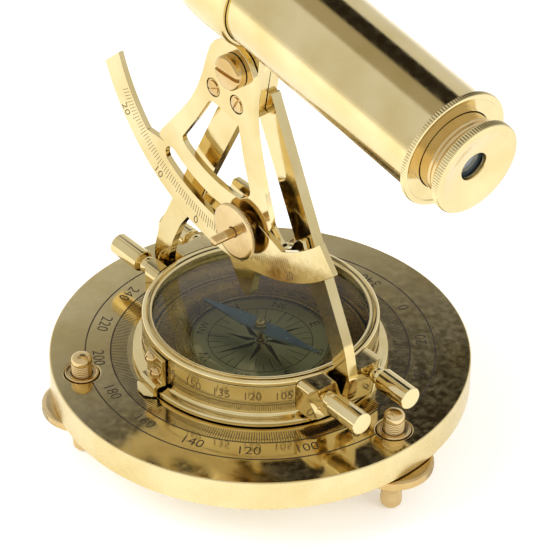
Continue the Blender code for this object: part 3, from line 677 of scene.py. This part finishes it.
class ALIDADE_OT_rose(bpy.types.Operator):
    """Build the compass card with its star and the letters of the winds"""

    bl_idname = "alidade.rose"
    bl_label = "Compass Card"

    def execute(self, context):
        low, high = node_box("rose_card")
        top = high.z - BASE_TOP
        card = [(1.5, top), (high.x - 0.2, top), (high.x, top - 0.2), (high.x, low.z - BASE_TOP),
                (1.5, low.z - BASE_TOP)]
        piece("rose_card_finished", turned(card, 128), "alidade", ["card"], ["rose_card"])
        shape = bmesh.new()
        for radius in (2.6, 18.6, 24.3):
            circle_line(shape, radius, top, 0.25)
        for step in range(32):
            inner = 11.0 if step % 2 else 14.5
            if step % 4:
                place = around(NORTH - step * 11.25, (inner + 18.6) / 2,
                               top) @ Matrix.Rotation(radians(90), 4, "Z")
                stroke(shape, place, 18.6 - inner, 0.22)
        for bearing, letters in zip(range(0, 360, 45), ("N", "NE", "E", "SE", "S", "SW", "W", "NW")):
            size = 5.4 if len(letters) == 1 else 4.2
            figures(shape, letters, size, around(NORTH - bearing, 21.5, top) @ Matrix.Rotation(pi, 4, "Z"))
            self.ray(shape, NORTH - bearing, 18.0 if len(letters) == 1 else 13.0, top)
        inlay("rose_engraving", shape, "alidade")
        return {"FINISHED"}

    def ray(self, shape, degrees, length, top):
        """The dark half of one ray of the star."""
        place = Matrix.Rotation(radians(degrees), 4, "Z")
        half = plate([(1.6, 0.0), (length, 0.0), (4.6, 1.9)], [], top - PROUD, top + PROUD)
        half.transform(place)
        absorb(shape, half)


class ALIDADE_OT_needle(bpy.types.Operator):
    """Build the lozenge needle and its cap"""

    bl_idname = "alidade.needle"
    bl_label = "Needle"

    def execute(self, context):
        low, high = node_box("compass_needle")
        half, wide = 27.0, 3.3
        outline = [(half, 0.0), (half * 0.25, wide), (0.0, wide * 0.8), (-half * 0.25, wide), (-half, 0.0),
                   (-half * 0.25, -wide), (0.0, -wide * 0.8), (half * 0.25, -wide)]
        blade = soften(plate(eased(outline, 0.25, 3), [circle(1.6, count=24)], low.z, high.z), 0.15, 2)
        piece("compass_needle_finished", blade, "needle", ["needle_steel"], ["compass_needle"],
              Matrix.Rotation(radians(13.0), 4, "Z"))
        low, high = node_box("needle_cap")
        cap = [(0.0, high.z), (0.7, high.z - 0.05), (1.3, high.z - 0.25), (1.8, high.z - 0.65),
               (2.0, high.z - 1.2), (2.0, low.z + 0.5), (2.15, low.z + 0.35), (2.15, low.z), (0.0, low.z)]
        piece("needle_cap_finished", turned(cap, 40), "needle", ["screw_brass"], ["needle_cap"], Matrix())
        return {"FINISHED"}


# ---------------------------------------------------------------- brackets and frame

class ALIDADE_OT_index(bpy.types.Operator):
    """Build the pointer over the base's scale, with its two round-head screws"""

    bl_idname = "alidade.index"
    bl_label = "Index Pointer"

    def execute(self, context):
        back, face, tip = BOX_R + CLEAR, BOX_R + 1.9, BOX_R + 7.6
        section = rounded([(back, 4.2), (BOX_R + 3.8, 4.2, 0.8), (BOX_R + 3.9, 0.6), (tip, 0.6), (tip, 1.2),
                           (BOX_R + 5.3, 1.8, 0.8), (BOX_R + 5.1, 4.8, 1.0), (BOX_R + 4.2, 5.4, 1.0),
                           (face, 5.5, 0.6), (face, 15.0), (back, 15.0)])
        shape = plate(section, [], -5.0, 5.0)
        for vert in shape.verts:
            if vert.co.x > tip - 0.5:
                vert.co.z *= 0.4
        shape = soften(shape, 0.2, 2)
        facing = ON_BASE @ Matrix.Rotation(radians(-97.0), 4, "Z")
        piece("index_pointer", shape, "alidade", ["polished_brass"], ["index_bracket"], facing @ UPRIGHT)
        base = face - back + 0.1
        for i, (side, height) in enumerate(((-2.4, 12.3), (0.9, 7.9)), 1):
            profile = [(0.0, base + 2.0)] + curved_profile((0.0, base - 0.4), 2.4, 70, 12, 7) + \
                [(2.4, base), (0.9, base), (0.9, 0.1), (0.0, 0.1)]
            place = facing @ along((1, 0, 0), (back, side, height))
            piece(f"index_screw_{i}_finished", slotted_head(profile, 0.45, 0.6, 48), "alidade",
                  ["screw_brass"],
                  [f"index_screw_{i}"], place)
        return {"FINISHED"}


class ALIDADE_OT_brackets(bpy.types.Operator):
    """Build the two slotted brackets on the box wall that hold the legs"""

    bl_idname = "alidade.brackets"
    bl_label = "Leg Brackets"

    def execute(self, context):
        for label, side in (("front", 1), ("rear", -1)):
            leg = sorted(side * y for y in depth_of(f"frame_leg_{label}"))
            shape = soften(self.block(leg[0] - CLEAR, leg[1] + CLEAR),
                           context.scene.alidade_sizes.edge / MM, 2)
            place = ON_BASE @ Matrix.Rotation(0.0 if side > 0 else pi, 4, "Z")
            piece(f"foot_bracket_{label}_finished", shape, "alidade", ["polished_brass"],
                  [f"foot_bracket_{label}"], place)
        return {"FINISHED"}

    def block(self, slot_low, slot_high):
        """The block is an outline in (Y, Z); its back fits the box wall and its front is bowed."""
        low, high = node_box("foot_bracket_front")
        half, foot, top, outer = high.y, low.z - BASE_TOP, high.z - BASE_TOP, high.x
        flare = 2.3
        corners = [(-half, foot, 1.2), (half, foot, 1.2), (half, top, 3.6), (slot_high + flare, top, 0.8),
                   (slot_high, 10.0, 0.6), (slot_high, 6.3), (slot_low, 6.3), (slot_low, 10.0, 0.6),
                   (slot_low - flare, top, 0.8), (-half, top, 3.6)]
        ring = rounded(corners)
        dense = []
        for (x0, y0), (x1, y1) in zip(ring, ring[1:] + ring[:1]):
            count = max(1, round(abs(x1 - x0) / 1.5))
            dense += [(x0 + (x1 - x0) * i / count, y0 + (y1 - y0) * i / count) for i in range(count)]
        shape = bmesh.new()
        verts = [shape.verts.new((x, y, 0.0)) for x, y in dense]
        for pair in zip(verts, verts[1:] + verts[:1]):
            shape.edges.new(pair)
        bmesh.ops.triangle_fill(shape, use_beauty=True, use_dissolve=False, edges=shape.edges)
        grown = bmesh.ops.extrude_face_region(shape, geom=shape.faces[:])
        front = [item for item in grown["geom"] if isinstance(item, bmesh.types.BMVert)]
        wall = BOX_R + CLEAR
        for vert in shape.verts:
            y, z = vert.co.x, vert.co.y
            vert.co = (sqrt(wall ** 2 - y ** 2), y, z)
        for vert in front:
            bow = max(0.0, (abs(vert.co.y) - half + 4.0) / 4.0)
            vert.co.x = outer - 3.0 * bow ** 2
        bmesh.ops.recalc_face_normals(shape, faces=shape.faces)
        return shape


class ALIDADE_OT_thumb_screws(bpy.types.Operator):
    """Build the four thumb screws: a ball neck and a plain round handle"""

    bl_idname = "alidade.thumb_screws"
    bl_label = "Thumb Screws"

    def execute(self, context):
        for i in range(1, 5):
            joint = JOINTS[f"thumb_screw_{i}_turn"]
            low, high = node_box(f"thumb_screw_{i}")
            side = joint["axis"][0]
            tip = max(abs(low.x), abs(high.x)) - node_box("foot_bracket_front")[1].x
            place_y, place_z = joint["pos_m"][1] / MM, joint["pos_m"][2] / MM
            shape = turned([(0.0, tip), (3.7, tip), (3.95, tip - 0.1), (4.1, tip - 0.35), (4.1, 5.6),
                            (3.95, 5.2),
                            (3.5, 4.9), (2.2, 4.7)] + curved_profile((0.0, 2.5), 3.1, 45, -45, 10) +
                           [(1.6, CLEAR), (1.6, -4.0), (0.0, -4.0)], 64)
            base_x = side * node_box("foot_bracket_front")[1].x
            piece(f"thumb_screw_{i}_finished", shape, f"thumb_screw_{i}", ["polished_brass"],
                  [f"thumb_screw_{i}"], along((side, 0, 0), (base_x, place_y, place_z)), 30.0)
        return {"FINISHED"}


ZERO = PIVOT.z - BASE_TOP      # the pivot's height above the base


class ALIDADE_OT_legs(bpy.types.Operator):
    """Build the two legs of the A-frame, lapped on the pivot"""

    bl_idname = "alidade.legs"
    bl_label = "A-Frame Legs"

    def execute(self, context):
        head = arc(8.1, -90.0, -270.0, 24, (0.0, ZERO))
        sides = [(8.1, 114.0, 2.0), (9.6, 110.5, 0.5), (48.9, 30.0, 30.0), (51.8, 18.0, 12.0),
                 (51.0, 10.5, 3.0), (49.0, 7.0, 2.5),
                 (44.4, 7.0, 2.0), (43.4, 9.0, 2.0), (43.6, 18.6, 14.0), (41.3, 27.0, 20.0),
                 (37.0, 36.5, 30.0),
                 (29.4, 47.0, 30.0), (1.2, 103.5, 2.0), (-1.0, 104.6, 1.0), (-8.1, 104.6, 1.0)]
        for label, side in (("front", 1), ("rear", -1)):
            outline = [(side * x, z - ZERO) for x, z in head + rounded(sides)]
            holes = [circle(3.0 + CLEAR), circle(1.5, (side * 46.0, 8.4 - ZERO), 24)]
            if side > 0:
                holes.append(circle(1.3, (27.0, 60.5 - ZERO), 24))
            y_low, y_high = depth_of(f"frame_leg_{label}")
            shape = soften(plate(outline, holes, 0.0, y_high - y_low), context.scene.alidade_sizes.edge / MM)
            place = upright_plate(Matrix.Translation(PIVOT), y_high)
            piece(f"frame_leg_{label}_finished", shape, "alidade", ["polished_brass"],
                  [f"frame_leg_{label}"], place)
        return {"FINISHED"}


class ALIDADE_OT_cross_plates(bpy.types.Operator):
    """Build the scalloped plate between the legs and the clamp's plate behind the arc"""

    bl_idname = "alidade.cross_plates"
    bl_label = "Cross Plates"

    def execute(self, context):
        right = [(8.0, 72.0, 1.0), (9.6, 68.0, 6.0), (12.4, 62.8, 6.0), (16.0, 58.8, 6.0), (19.4, 57.5, 5.0),
                 (22.6, 59.2, 5.0), (25.0, 63.5, 4.0), (27.2, 65.8, 3.0), (29.0, 66.0, 2.0),
                 (30.6, 62.0, 3.0),
                 (30.6, 57.0, 4.0), (27.0, 52.0, 6.0), (23.0, 49.4, 6.0), (18.0, 48.5, 4.0)]
        left = [(-18.0, 48.5), (-28.2, 48.5), (-23.4, 57.5), (-19.4, 57.5, 4.0), (-16.0, 58.8, 5.0),
                (-12.4, 62.8, 6.0), (-9.6, 68.0, 6.0), (-8.0, 72.0, 1.0)]
        rivets = [circle(1.3, (27.0, 60.5 - ZERO), 24), circle(1.3, (3.0, 54.0 - ZERO), 24)]
        self.build(context, "cross_plate", right + left, rivets)
        stud = JOINTS["clamp_nut_turn"]["pos_m"]
        clamp = [(-6.8, 64.6, 1.5), (6.8, 64.6, 1.5), (9.2, 61.0, 4.0), (10.0, 56.0, 8.0), (8.8, 44.0, 20.0),
                 (6.0, 33.0, 3.0), (4.6, 30.6, 0.8), (2.4, 30.6, 0.8), (-0.6, 34.0, 4.0), (-6.6, 44.0, 20.0),
                 (-8.6, 56.0, 8.0), (-8.6, 60.6, 4.0)]
        holes = [circle(2.05, (stud[0] / MM, stud[2] / MM - PIVOT.z), 32),
                 circle(1.3, (3.0, 54.0 - ZERO), 24)]
        self.build(context, "clamp_plate", clamp, holes)
        return {"FINISHED"}

    def build(self, context, node, corners, holes):
        outline = [(x, z - ZERO) for x, z in rounded(corners)]
        y_low, y_high = depth_of(node)
        shape = soften(plate(outline, holes, 0.0, y_high - y_low), context.scene.alidade_sizes.edge / MM, 2)
        piece(f"{node}_finished", shape, "alidade", ["polished_brass"], [node],
              upright_plate(Matrix.Translation(PIVOT), y_high))


class ALIDADE_OT_pivot(bpy.types.Operator):
    """Build the big slotted screw that the telescope tilts on"""

    bl_idname = "alidade.pivot"
    bl_label = "Pivot Screw"

    def execute(self, context):
        y_low, y_high = depth_of("pivot_bolt")
        front = -y_low
        profile = [(0.0, front), (3.6, front - 0.06), (5.3, front - 0.2), (5.9, front - 0.45),
                   (6.2, front - 0.9), (6.25, front - 1.5), (6.25, front - 4.0), (3.0, front - 4.0),
                   (3.0, -y_high + 0.3), (2.7, -y_high), (0.0, -y_high)]
        place = Matrix.Translation(PIVOT) @ along((0, -1, 0), (0, 0, 0))
        piece("pivot_screw", slotted_head(profile, 1.5, 1.3, 72), "alidade", ["screw_brass"], ["pivot_bolt"],
              place)
        return {"FINISHED"}


class ALIDADE_OT_clamp(bpy.types.Operator):
    """Build the clamp's threaded stud and its knurled nut"""

    bl_idname = "alidade.clamp"
    bl_label = "Arc Clamp"

    def execute(self, context):
        centre = JOINTS["clamp_nut_turn"]["pos_m"]
        y_low, y_high = depth_of("clamp_stud")
        place = along((0, -1, 0), (centre[0] / MM, 0.0, centre[2] / MM))
        front, back = -y_low, -y_high
        stud = [(0.0, front), (1.2, front), (1.6, front - 0.4)] + thread(1.75, front - 0.5, front - 5.0,
                                                                         0.7, 0.25) + \
            [(1.5, front - 5.3), (1.75, front - 5.6), (1.75, back), (0.0, back)]
        piece("clamp_stud_finished", turned(stud, 40), "alidade", ["screw_brass"], ["clamp_stud"], place,
              60.0)
        y_low, y_high = depth_of("clamp_nut")
        front, back, teeth = -y_low, -y_high, 72
        nut = [(2.05, front - 0.2), (2.4, front), (9.2, front), (9.6, front - 0.1), (10.3, front - 0.3),
               (10.6, front - 0.65), (10.25, front - 0.95), (10.6, front - 1.25), (10.3, front - 1.6),
               (9.6, front - 1.9), (5.2, front - 2.3), (4.6, front - 2.9), (4.5, back), (2.05, back)]
        shape = knurl(turned(nut, 2 * teeth), teeth, 0.3, 10.2, front - 1.7, front - 0.2)
        piece("clamp_nut_finished", shape, "clamp_nut", ["screw_brass"], ["clamp_nut"], place)
        return {"FINISHED"}


# ---------------------------------------------------------------- telescope and degree arc

ARC_CENTRE = (-1.5, -1.8)                         # from the pivot
SADDLE_SCREWS = ((17.3, -33.5), (13.5, 11.9))     # radius from the pivot and angle


class ALIDADE_OT_sector(bpy.types.Operator):
    """Build the vertical degree arc with its slot, window and scale"""

    bl_idname = "alidade.sector"
    bl_label = "Degree Arc"

    def execute(self, context):
        start, end, outer, band = -58.0, 53.5, 76.3, 66.3
        outline = arc(outer, start, end, 72, ARC_CENTRE) + arc(band - 1.5, end + 1.0, 33.0, 20,
                                                               ARC_CENTRE) + rounded(
            [(*polar(61.5, 29.2), 6.0), (*polar(44.7, 29.8), 20.0), (*polar(33.2, 31.6), 20.0),
             (*polar(23.4, 36.0), 10.0), (*polar(16.6, 46.4), 6.0), (*polar(11.5, 75.0), 6.0),
             (*polar(9.9, 110.0), 6.0), (*polar(9.4, 145.0), 6.0), (*polar(9.4, 180.0), 6.0),
             (*polar(11.4, -137.0), 5.0), (*polar(12.6, -113.0), 5.0), (*polar(13.8, -95.0), 6.0),
             (*polar(15.5, -73.0), 8.0), (*polar(19.3, -54.7), 10.0), (*polar(26.1, -42.1), 14.0),
             (*polar(34.2, -36.8), 20.0), (*polar(43.9, -34.8), 20.0), (*polar(56.4, -33.7), 14.0),
             (*polar(64.5, -33.2), 3.0)], 4) + arc(band, -36.0, start - 3.0, 20, ARC_CENTRE)
        window = rounded([(*polar(20.4, 13.6), 3.0), (*polar(33.0, 16.4), 10.0), (*polar(47.5, 19.4), 4.0)] +
                         arc(49.3, 14.0, -22.0, 20, ARC_CENTRE) +
                         [(*polar(51.0, -25.8), 3.5), (*polar(36.0, -25.6), 10.0),
                          (*polar(22.7, -26.8), 3.0)], 5)
        holes = [circle(3.0 + CLEAR), window, self.slot(64.2, 57.3, -24.0, 18.0)]
        holes += [circle(3.5, polar(*screw), 32) for screw in SADDLE_SCREWS]
        low, high = -12.5, -10.3
        shape = soften(plate(outline, holes, 0.0, high - low), 0.22)
        piece("sector_plate_finished", shape, "telescope", ["polished_brass"], ["sector_plate"],
              upright_plate(AT_PIVOT, high))
        sizes = context.scene.alidade_sizes
        marks = bmesh.new()
        centred = Matrix.Translation((*ARC_CENTRE, 0.0))
        step, first, last = 0.97, -44, 43
        for count in range(first, last + 1):
            angle = -6.7 + count * step
            length = 4.6 if count % 5 == 0 else 3.6
            turn = centred @ Matrix.Rotation(radians(angle), 4, "Z")
            place = turn @ Matrix.Translation((0.0, -67.2 - length / 2, 0.0)) @ Matrix.Rotation(pi / 2, 4,
                                                                                                "Z")
            stroke(marks, place, length, 0.2)
        for number, angle in ((20, -43.9), (10, -24.5), (0, -6.7), (10, 12.2), (20, 33.6)):
            turn = centred @ Matrix.Rotation(radians(angle), 4, "Z") @ Matrix.Translation((0.0, -73.7, 0.0))
            figures(marks, str(number), sizes.arc_figures / MM, turn)
        inlay("sector_scale", marks, "telescope", upright_plate(AT_PIVOT, low), "gold_groove_shade")
        return {"FINISHED"}

    def slot(self, outer, inner, low, high):
        """A curved slot with round ends between two radii and two angles."""
        middle, half = (outer + inner) / 2, (outer - inner) / 2
        ring = arc(outer, low, high, 32, ARC_CENTRE)
        for angle, first in ((high, high), (low, low + 180.0)):
            centre = [a + b for a, b in zip(polar(middle, angle), ARC_CENTRE)]
            ring += arc(half, first, first + 180.0, 12, centre)[1:-1]
            if angle == high:
                ring += arc(inner, high, low, 32, ARC_CENTRE)
        return ring


class ALIDADE_OT_saddle(bpy.types.Operator):
    """Build the web that carries the tube on the arc, with its two slotted screws"""

    bl_idname = "alidade.saddle"
    bl_label = "Saddle"

    def execute(self, context):
        half, top = 8.6, TUBE_RISE - COLLAR_R - 0.35
        outline = [(half, top), (half, -6.0)] + arc(21.0, 23.0, -38.0, 24) + \
            [(-13.4, -9.0), (-half - 1.0, 2.0), (-half - 1.0, top - 5.0), (-half - 5.0, top)]
        holes = [circle(3.0 + CLEAR)] + [circle(1.8, polar(*screw), 24) for screw in SADDLE_SCREWS]
        y_low, y_high = depth_of("saddle_web")
        shape = soften(plate(outline, holes, 0.0, y_high - y_low), 0.25, 2)
        piece("saddle_web_finished", shape, "telescope", ["polished_brass"], ["saddle_web"],
              upright_plate(AT_PIVOT, y_high))
        for i, screw in enumerate(SADDLE_SCREWS, 1):
            x, z = polar(*screw)
            front = -depth_of(f"saddle_screw_{i}")[0]
            profile = [(0.0, front), (1.6, front - 0.1), (2.6, front - 0.4), (3.1, front - 0.9),
                       (3.1, front - 2.5), (1.5, front - 2.5), (1.5, front - 5.5), (0.0, front - 5.5)]
            turn = Matrix.Rotation(radians(35.0 * i), 4, "Z")
            piece(f"saddle_screw_{i}_finished", slotted_head(profile, 0.8, 0.8, 36), "telescope",
                  ["screw_brass"], [f"saddle_screw_{i}"], AT_PIVOT @ along((0, -1, 0), (x, 0.0, z)) @ turn)
        return {"FINISHED"}


class ALIDADE_OT_telescope(bpy.types.Operator):
    """Build the telescope's barrels, collar, objective and end ring"""

    bl_idname = "alidade.telescope"
    bl_label = "Telescope"

    def execute(self, context):
        for node, low, high in (("eyepiece_barrel", -4.8, BARREL_END), ("objective_barrel", -106.0, -5.2)):
            shape = turned([(TUBE_BORE, high), (TUBE_R - 0.1, high), (TUBE_R, high - 0.1),
                            (TUBE_R, low + 0.1), (TUBE_R - 0.1, low), (TUBE_BORE, low)], 160)
            for face in shape.faces:
                middle = face.calc_center_median()
                face.material_index = int(hypot(middle.x, middle.y) < TUBE_BORE + 0.1)
            self.build(node, shape, ["tube_brass", "black_paint"])
        collar = [(TUBE_R + CLEAR, 7.6), (19.8, 7.6), (20.3, 7.3), (20.75, 6.4), (21.1, 3.0), (21.3, -1.0),
                  (COLLAR_R, -4.0), (21.3, -7.0), (21.1, -11.0), (20.75, -14.4), (20.3, -15.3), (19.8, -15.6),
                  (TUBE_R + CLEAR, -15.6)]
        self.build("centre_collar", turned(collar, 160))
        teeth = 130
        rim = BARREL_END + CLEAR
        ring = [(14.4, rim + 1.5), (18.4, rim + 1.5), (18.7, rim + 1.6), (19.0, rim + 2.0), (19.4, rim + 2.1),
                (20.2, rim + 2.0), (20.7, rim + 1.7), (20.9, rim + 1.4), (20.9, rim + 0.2), (20.7, rim),
                (TUBE_BORE - CLEAR, rim), (TUBE_BORE - CLEAR, 84.0), (14.4, 84.0)]
        self.build("end_ring", knurl(turned(ring, 2 * teeth), teeth, 0.35, 20.8, rim, rim + 1.6))
        cell = [(16.0, -98.0), (TUBE_BORE - CLEAR, -98.0), (TUBE_BORE - CLEAR, -106.3), (20.2, -106.3),
                (20.9, -106.6), (20.9, -107.8), (20.6, -108.1), (21.0, -108.6), (21.2, -110.5),
                (21.15, -113.5),
                (20.9, -116.4), (20.5, -117.6), (19.8, -118.4), (19.0, -118.6), (17.6, -118.4),
                (17.0, -117.8), (17.0, -112.0), (16.0, -112.0)]
        self.build("objective_cell", knurl(turned(cell, 2 * teeth), teeth, 0.3, 20.86, -107.9, -106.5))
        lens = [(0.0, -112.6), (8.0, -112.8), (16.6, -113.4), (16.6, -115.2), (12.0, -116.1), (8.0, -116.6),
                (4.0, -116.9), (0.0, -117.0)]
        self.build("objective_lens", turned(lens, 96), ["lens"], "glass")
        return {"FINISHED"}

    def build(self, node, shape, finishes=("polished_brass",), slot="polished_brass"):
        piece(f"{node}_finished", shape, "telescope", finishes, [node], ALONG_TUBE)


class ALIDADE_OT_eyepiece(bpy.types.Operator):
    """Build the sliding eyepiece: ringed draw tube, knurled cup and lens"""

    bl_idname = "alidade.eyepiece"
    bl_label = "Eyepiece"

    def execute(self, context):
        draw = [(11.6, 106.0), (14.1, 106.0)] + thread(14.1, 105.6, 98.8, 1.7, 0.3) + [(14.1, 62.0),
                                                                                       (11.6, 62.0)]
        self.build("draw_tube", turned(draw, 128), ["screw_brass"], "polished_brass")
        teeth = 110
        cup = [(5.0, 107.4), (5.2, 107.8), (7.0, 107.95), (9.5, 108.4), (11.8, 109.05), (13.6, 109.55),
               (14.6, 109.7), (15.7, 109.65), (16.35, 109.4), (16.7, 109.0), (16.7, 107.0), (16.35, 106.5),
               (15.7, 106.3), (5.0, 106.3)]
        shape = knurl(turned(cup, 2 * teeth), teeth, 0.35, 16.6, 106.9, 109.1)
        self.build("eyecup", shape, ["polished_brass"], "polished_brass")
        lens = [(0.0, 105.4), (3.0, 105.35), (6.0, 105.15), (9.0, 104.8), (11.3, 104.4), (11.3, 102.6),
                (6.0, 102.1), (0.0, 101.8)]
        self.build("eye_lens", turned(lens, 64), ["lens"], "glass")
        return {"FINISHED"}

    def build(self, node, shape, finishes, slot):
        piece(f"{node}_finished", shape, "eyepiece", finishes, [node], ALONG_TUBE)


class ALIDADE_OT_fittings(bpy.types.Operator):
    """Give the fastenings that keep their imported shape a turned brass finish"""

    bl_idname = "alidade.fittings"
    bl_label = "Fastenings"

    def execute(self, context):
        for node in frame["nodes"].values():
            if not node.hide_render:
                for slot in node.material_slots:
                    slot.material = FINISHES["screw_brass"]
        return {"FINISHED"}


# ---------------------------------------------------------------- stage

class ALIDADE_OT_stage(bpy.types.Operator):
    """Set the pale floor, soft studio light and the camera"""

    bl_idname = "alidade.stage"
    bl_label = "Stage"

    def execute(self, context):
        self.floor(context)
        self.world(context)
        self.lights(context)
        self.camera(context)
        context.scene.view_settings.view_transform = "Standard"
        return {"FINISHED"}

    def floor(self, context):
        """Matt white studio paper, with a faint glow of its own that keeps it white."""
        material, tree = new_finish("studio_paper")
        place = add_node(tree, "ShaderNodeTexCoord").outputs["Object"]
        grain = add_node(tree, "ShaderNodeTexNoise", {"Vector": place, "Scale": 1.0 / (1.5 * MM)})
        bump = add_node(tree, "ShaderNodeBump", {"Height": grain.outputs[0], "Strength": 0.05,
                                                 "Distance": 0.05 * MM})
        shader = add_node(tree, "ShaderNodeBsdfPrincipled",
                          {"Base Color": linear("#F7F7F5"), "Roughness": 0.9, "Specular IOR Level": 0.1,
                           "Emission Color": linear("#FFFFFF"), "Emission Strength": 0.3,
                           "Normal": bump.outputs[0]})
        add_node(tree, "ShaderNodeOutputMaterial", {"Surface": shader.outputs[0]})
        shape = bmesh.new()
        bmesh.ops.create_circle(shape, cap_ends=True, radius=6.0, segments=96)
        mesh = bpy.data.meshes.new("studio_floor")
        shape.to_mesh(mesh)
        shape.free()
        mesh.materials.append(material)
        floor = bpy.data.objects.new("studio_floor", mesh)
        context.scene.collection.objects.link(floor)

    def world(self, context):
        """A white studio with a dim and a dark patch of ceiling, which give the brass its dark streaks."""
        world = bpy.data.worlds.new("studio")
        context.scene.world = world
        world.use_nodes = True
        tree = world.node_tree
        tree.nodes.clear()
        direction = add_node(tree, "ShaderNodeTexCoord").outputs["Generated"]
        colour = linear("#F4F4F4")
        patches = (((-0.40, -0.02, 0.92), 0.945, 0.975, "#B9B09A"),
                   ((-0.413, 0.468, 0.778), 0.947, 0.972, "#2A241C"))
        for place, rim, core, tone in patches:
            centre = Vector(place).normalized()
            near = add_node(tree, "ShaderNodeVectorMath", {0: direction, 1: centre}, operation="DOT_PRODUCT")
            share = add_node(tree, "ShaderNodeMapRange",
                             {0: near.outputs["Value"], 1: rim, 2: core, 3: 0.0, 4: 1.0},
                             interpolation_type="SMOOTHSTEP")
            colour = add_node(tree, "ShaderNodeMix", {0: share.outputs[0], 6: colour, 7: linear(tone)},
                              data_type="RGBA").outputs[2]
        light = add_node(tree, "ShaderNodeBackground", {"Color": colour, "Strength": 0.9})
        add_node(tree, "ShaderNodeOutputWorld", {"Surface": light.outputs[0]})

    def lights(self, context):
        """Two soft boxes, one over the front left and one over the right."""
        for name, place, size, power in (("key_box", (-0.35, -0.9, 0.95), 0.7, 9.0),
                                         ("side_box", (1.1, 0.35, 0.7), 0.6, 5.0)):
            lamp = bpy.data.lights.new(name, "AREA")
            lamp.size = size
            lamp.energy = power
            item = bpy.data.objects.new(name, lamp)
            aim = Vector((0.0, 0.0, 0.1)) - Vector(place)
            item.matrix_world = Matrix.Translation(place) @ aim.to_track_quat("-Z", "Y").to_matrix().to_4x4()
            item.visible_glossy = False
            context.scene.collection.objects.link(item)

    def camera(self, context):
        """A long lens, looking down at 36 degrees from the right front."""
        yaw, pitch, roll = radians(0.283), radians(36.25), radians(0.852)
        forward = Vector((sin(yaw) * cos(pitch), cos(yaw) * cos(pitch), -sin(pitch)))
        right = Vector((cos(yaw), -sin(yaw), 0.0))
        up = right.cross(forward)
        basis = Matrix((right * cos(roll) + up * sin(roll), up * cos(roll) - right * sin(roll), -forward))
        place = Vector((0.0, -0.9766, 0.7486 + BASE_TOP * MM))
        data = bpy.data.cameras.new("camera")
        data.lens = 226.5
        data.sensor_width = 36.0
        data.clip_start = 0.02
        data.clip_end = 40.0
        camera = bpy.data.objects.new("camera", data)
        camera.matrix_world = (Matrix.Rotation(radians(50.0), 4, "Z") @ Matrix.Translation(place)
                               @ basis.transposed().to_4x4())
        context.scene.collection.objects.link(camera)
        context.scene.camera = camera


# ---------------------------------------------------------------- add-on

PIECES = (ALIDADE_OT_base, ALIDADE_OT_base_scale, ALIDADE_OT_levelling, ALIDADE_OT_compass_box,
          ALIDADE_OT_box_scale, ALIDADE_OT_dial, ALIDADE_OT_rose, ALIDADE_OT_needle, ALIDADE_OT_index,
          ALIDADE_OT_brackets, ALIDADE_OT_thumb_screws, ALIDADE_OT_legs, ALIDADE_OT_cross_plates,
          ALIDADE_OT_pivot, ALIDADE_OT_clamp, ALIDADE_OT_sector, ALIDADE_OT_saddle, ALIDADE_OT_telescope,
          ALIDADE_OT_eyepiece, ALIDADE_OT_fittings, ALIDADE_OT_stage)


class ALIDADE_PT_panel(bpy.types.Panel):
    """Lists the sizes, the colours and the pieces"""

    bl_idname = "ALIDADE_PT_panel"
    bl_label = "Brass Alidade"
    bl_space_type = "VIEW_3D"
    bl_region_type = "UI"
    bl_category = "Alidade"

    def draw(self, context):
        for group in (context.scene.alidade_sizes, context.scene.alidade_colours):
            box = self.layout.box()
            for name in group.__annotations__:
                box.prop(group, name)
        for operator in PIECES:
            self.layout.operator(operator.bl_idname)


CLASSES = (AlidadeSizes, AlidadeColours, *PIECES, ALIDADE_PT_panel)


def register():
    for item in CLASSES:
        bpy.utils.register_class(item)
    bpy.types.Scene.alidade_sizes = bpy.props.PointerProperty(type=AlidadeSizes)
    bpy.types.Scene.alidade_colours = bpy.props.PointerProperty(type=AlidadeColours)


def unregister():
    del bpy.types.Scene.alidade_colours
    del bpy.types.Scene.alidade_sizes
    for item in reversed(CLASSES):
        bpy.utils.unregister_class(item)


def main():
    register()
    make_finishes(bpy.context.scene.alidade_colours)
    for operator in PIECES:
        group, name = operator.bl_idname.split(".")
        getattr(getattr(bpy.ops, group), name)()
    bpy.context.view_layer.update()


if __name__ == "__main__":
    main()
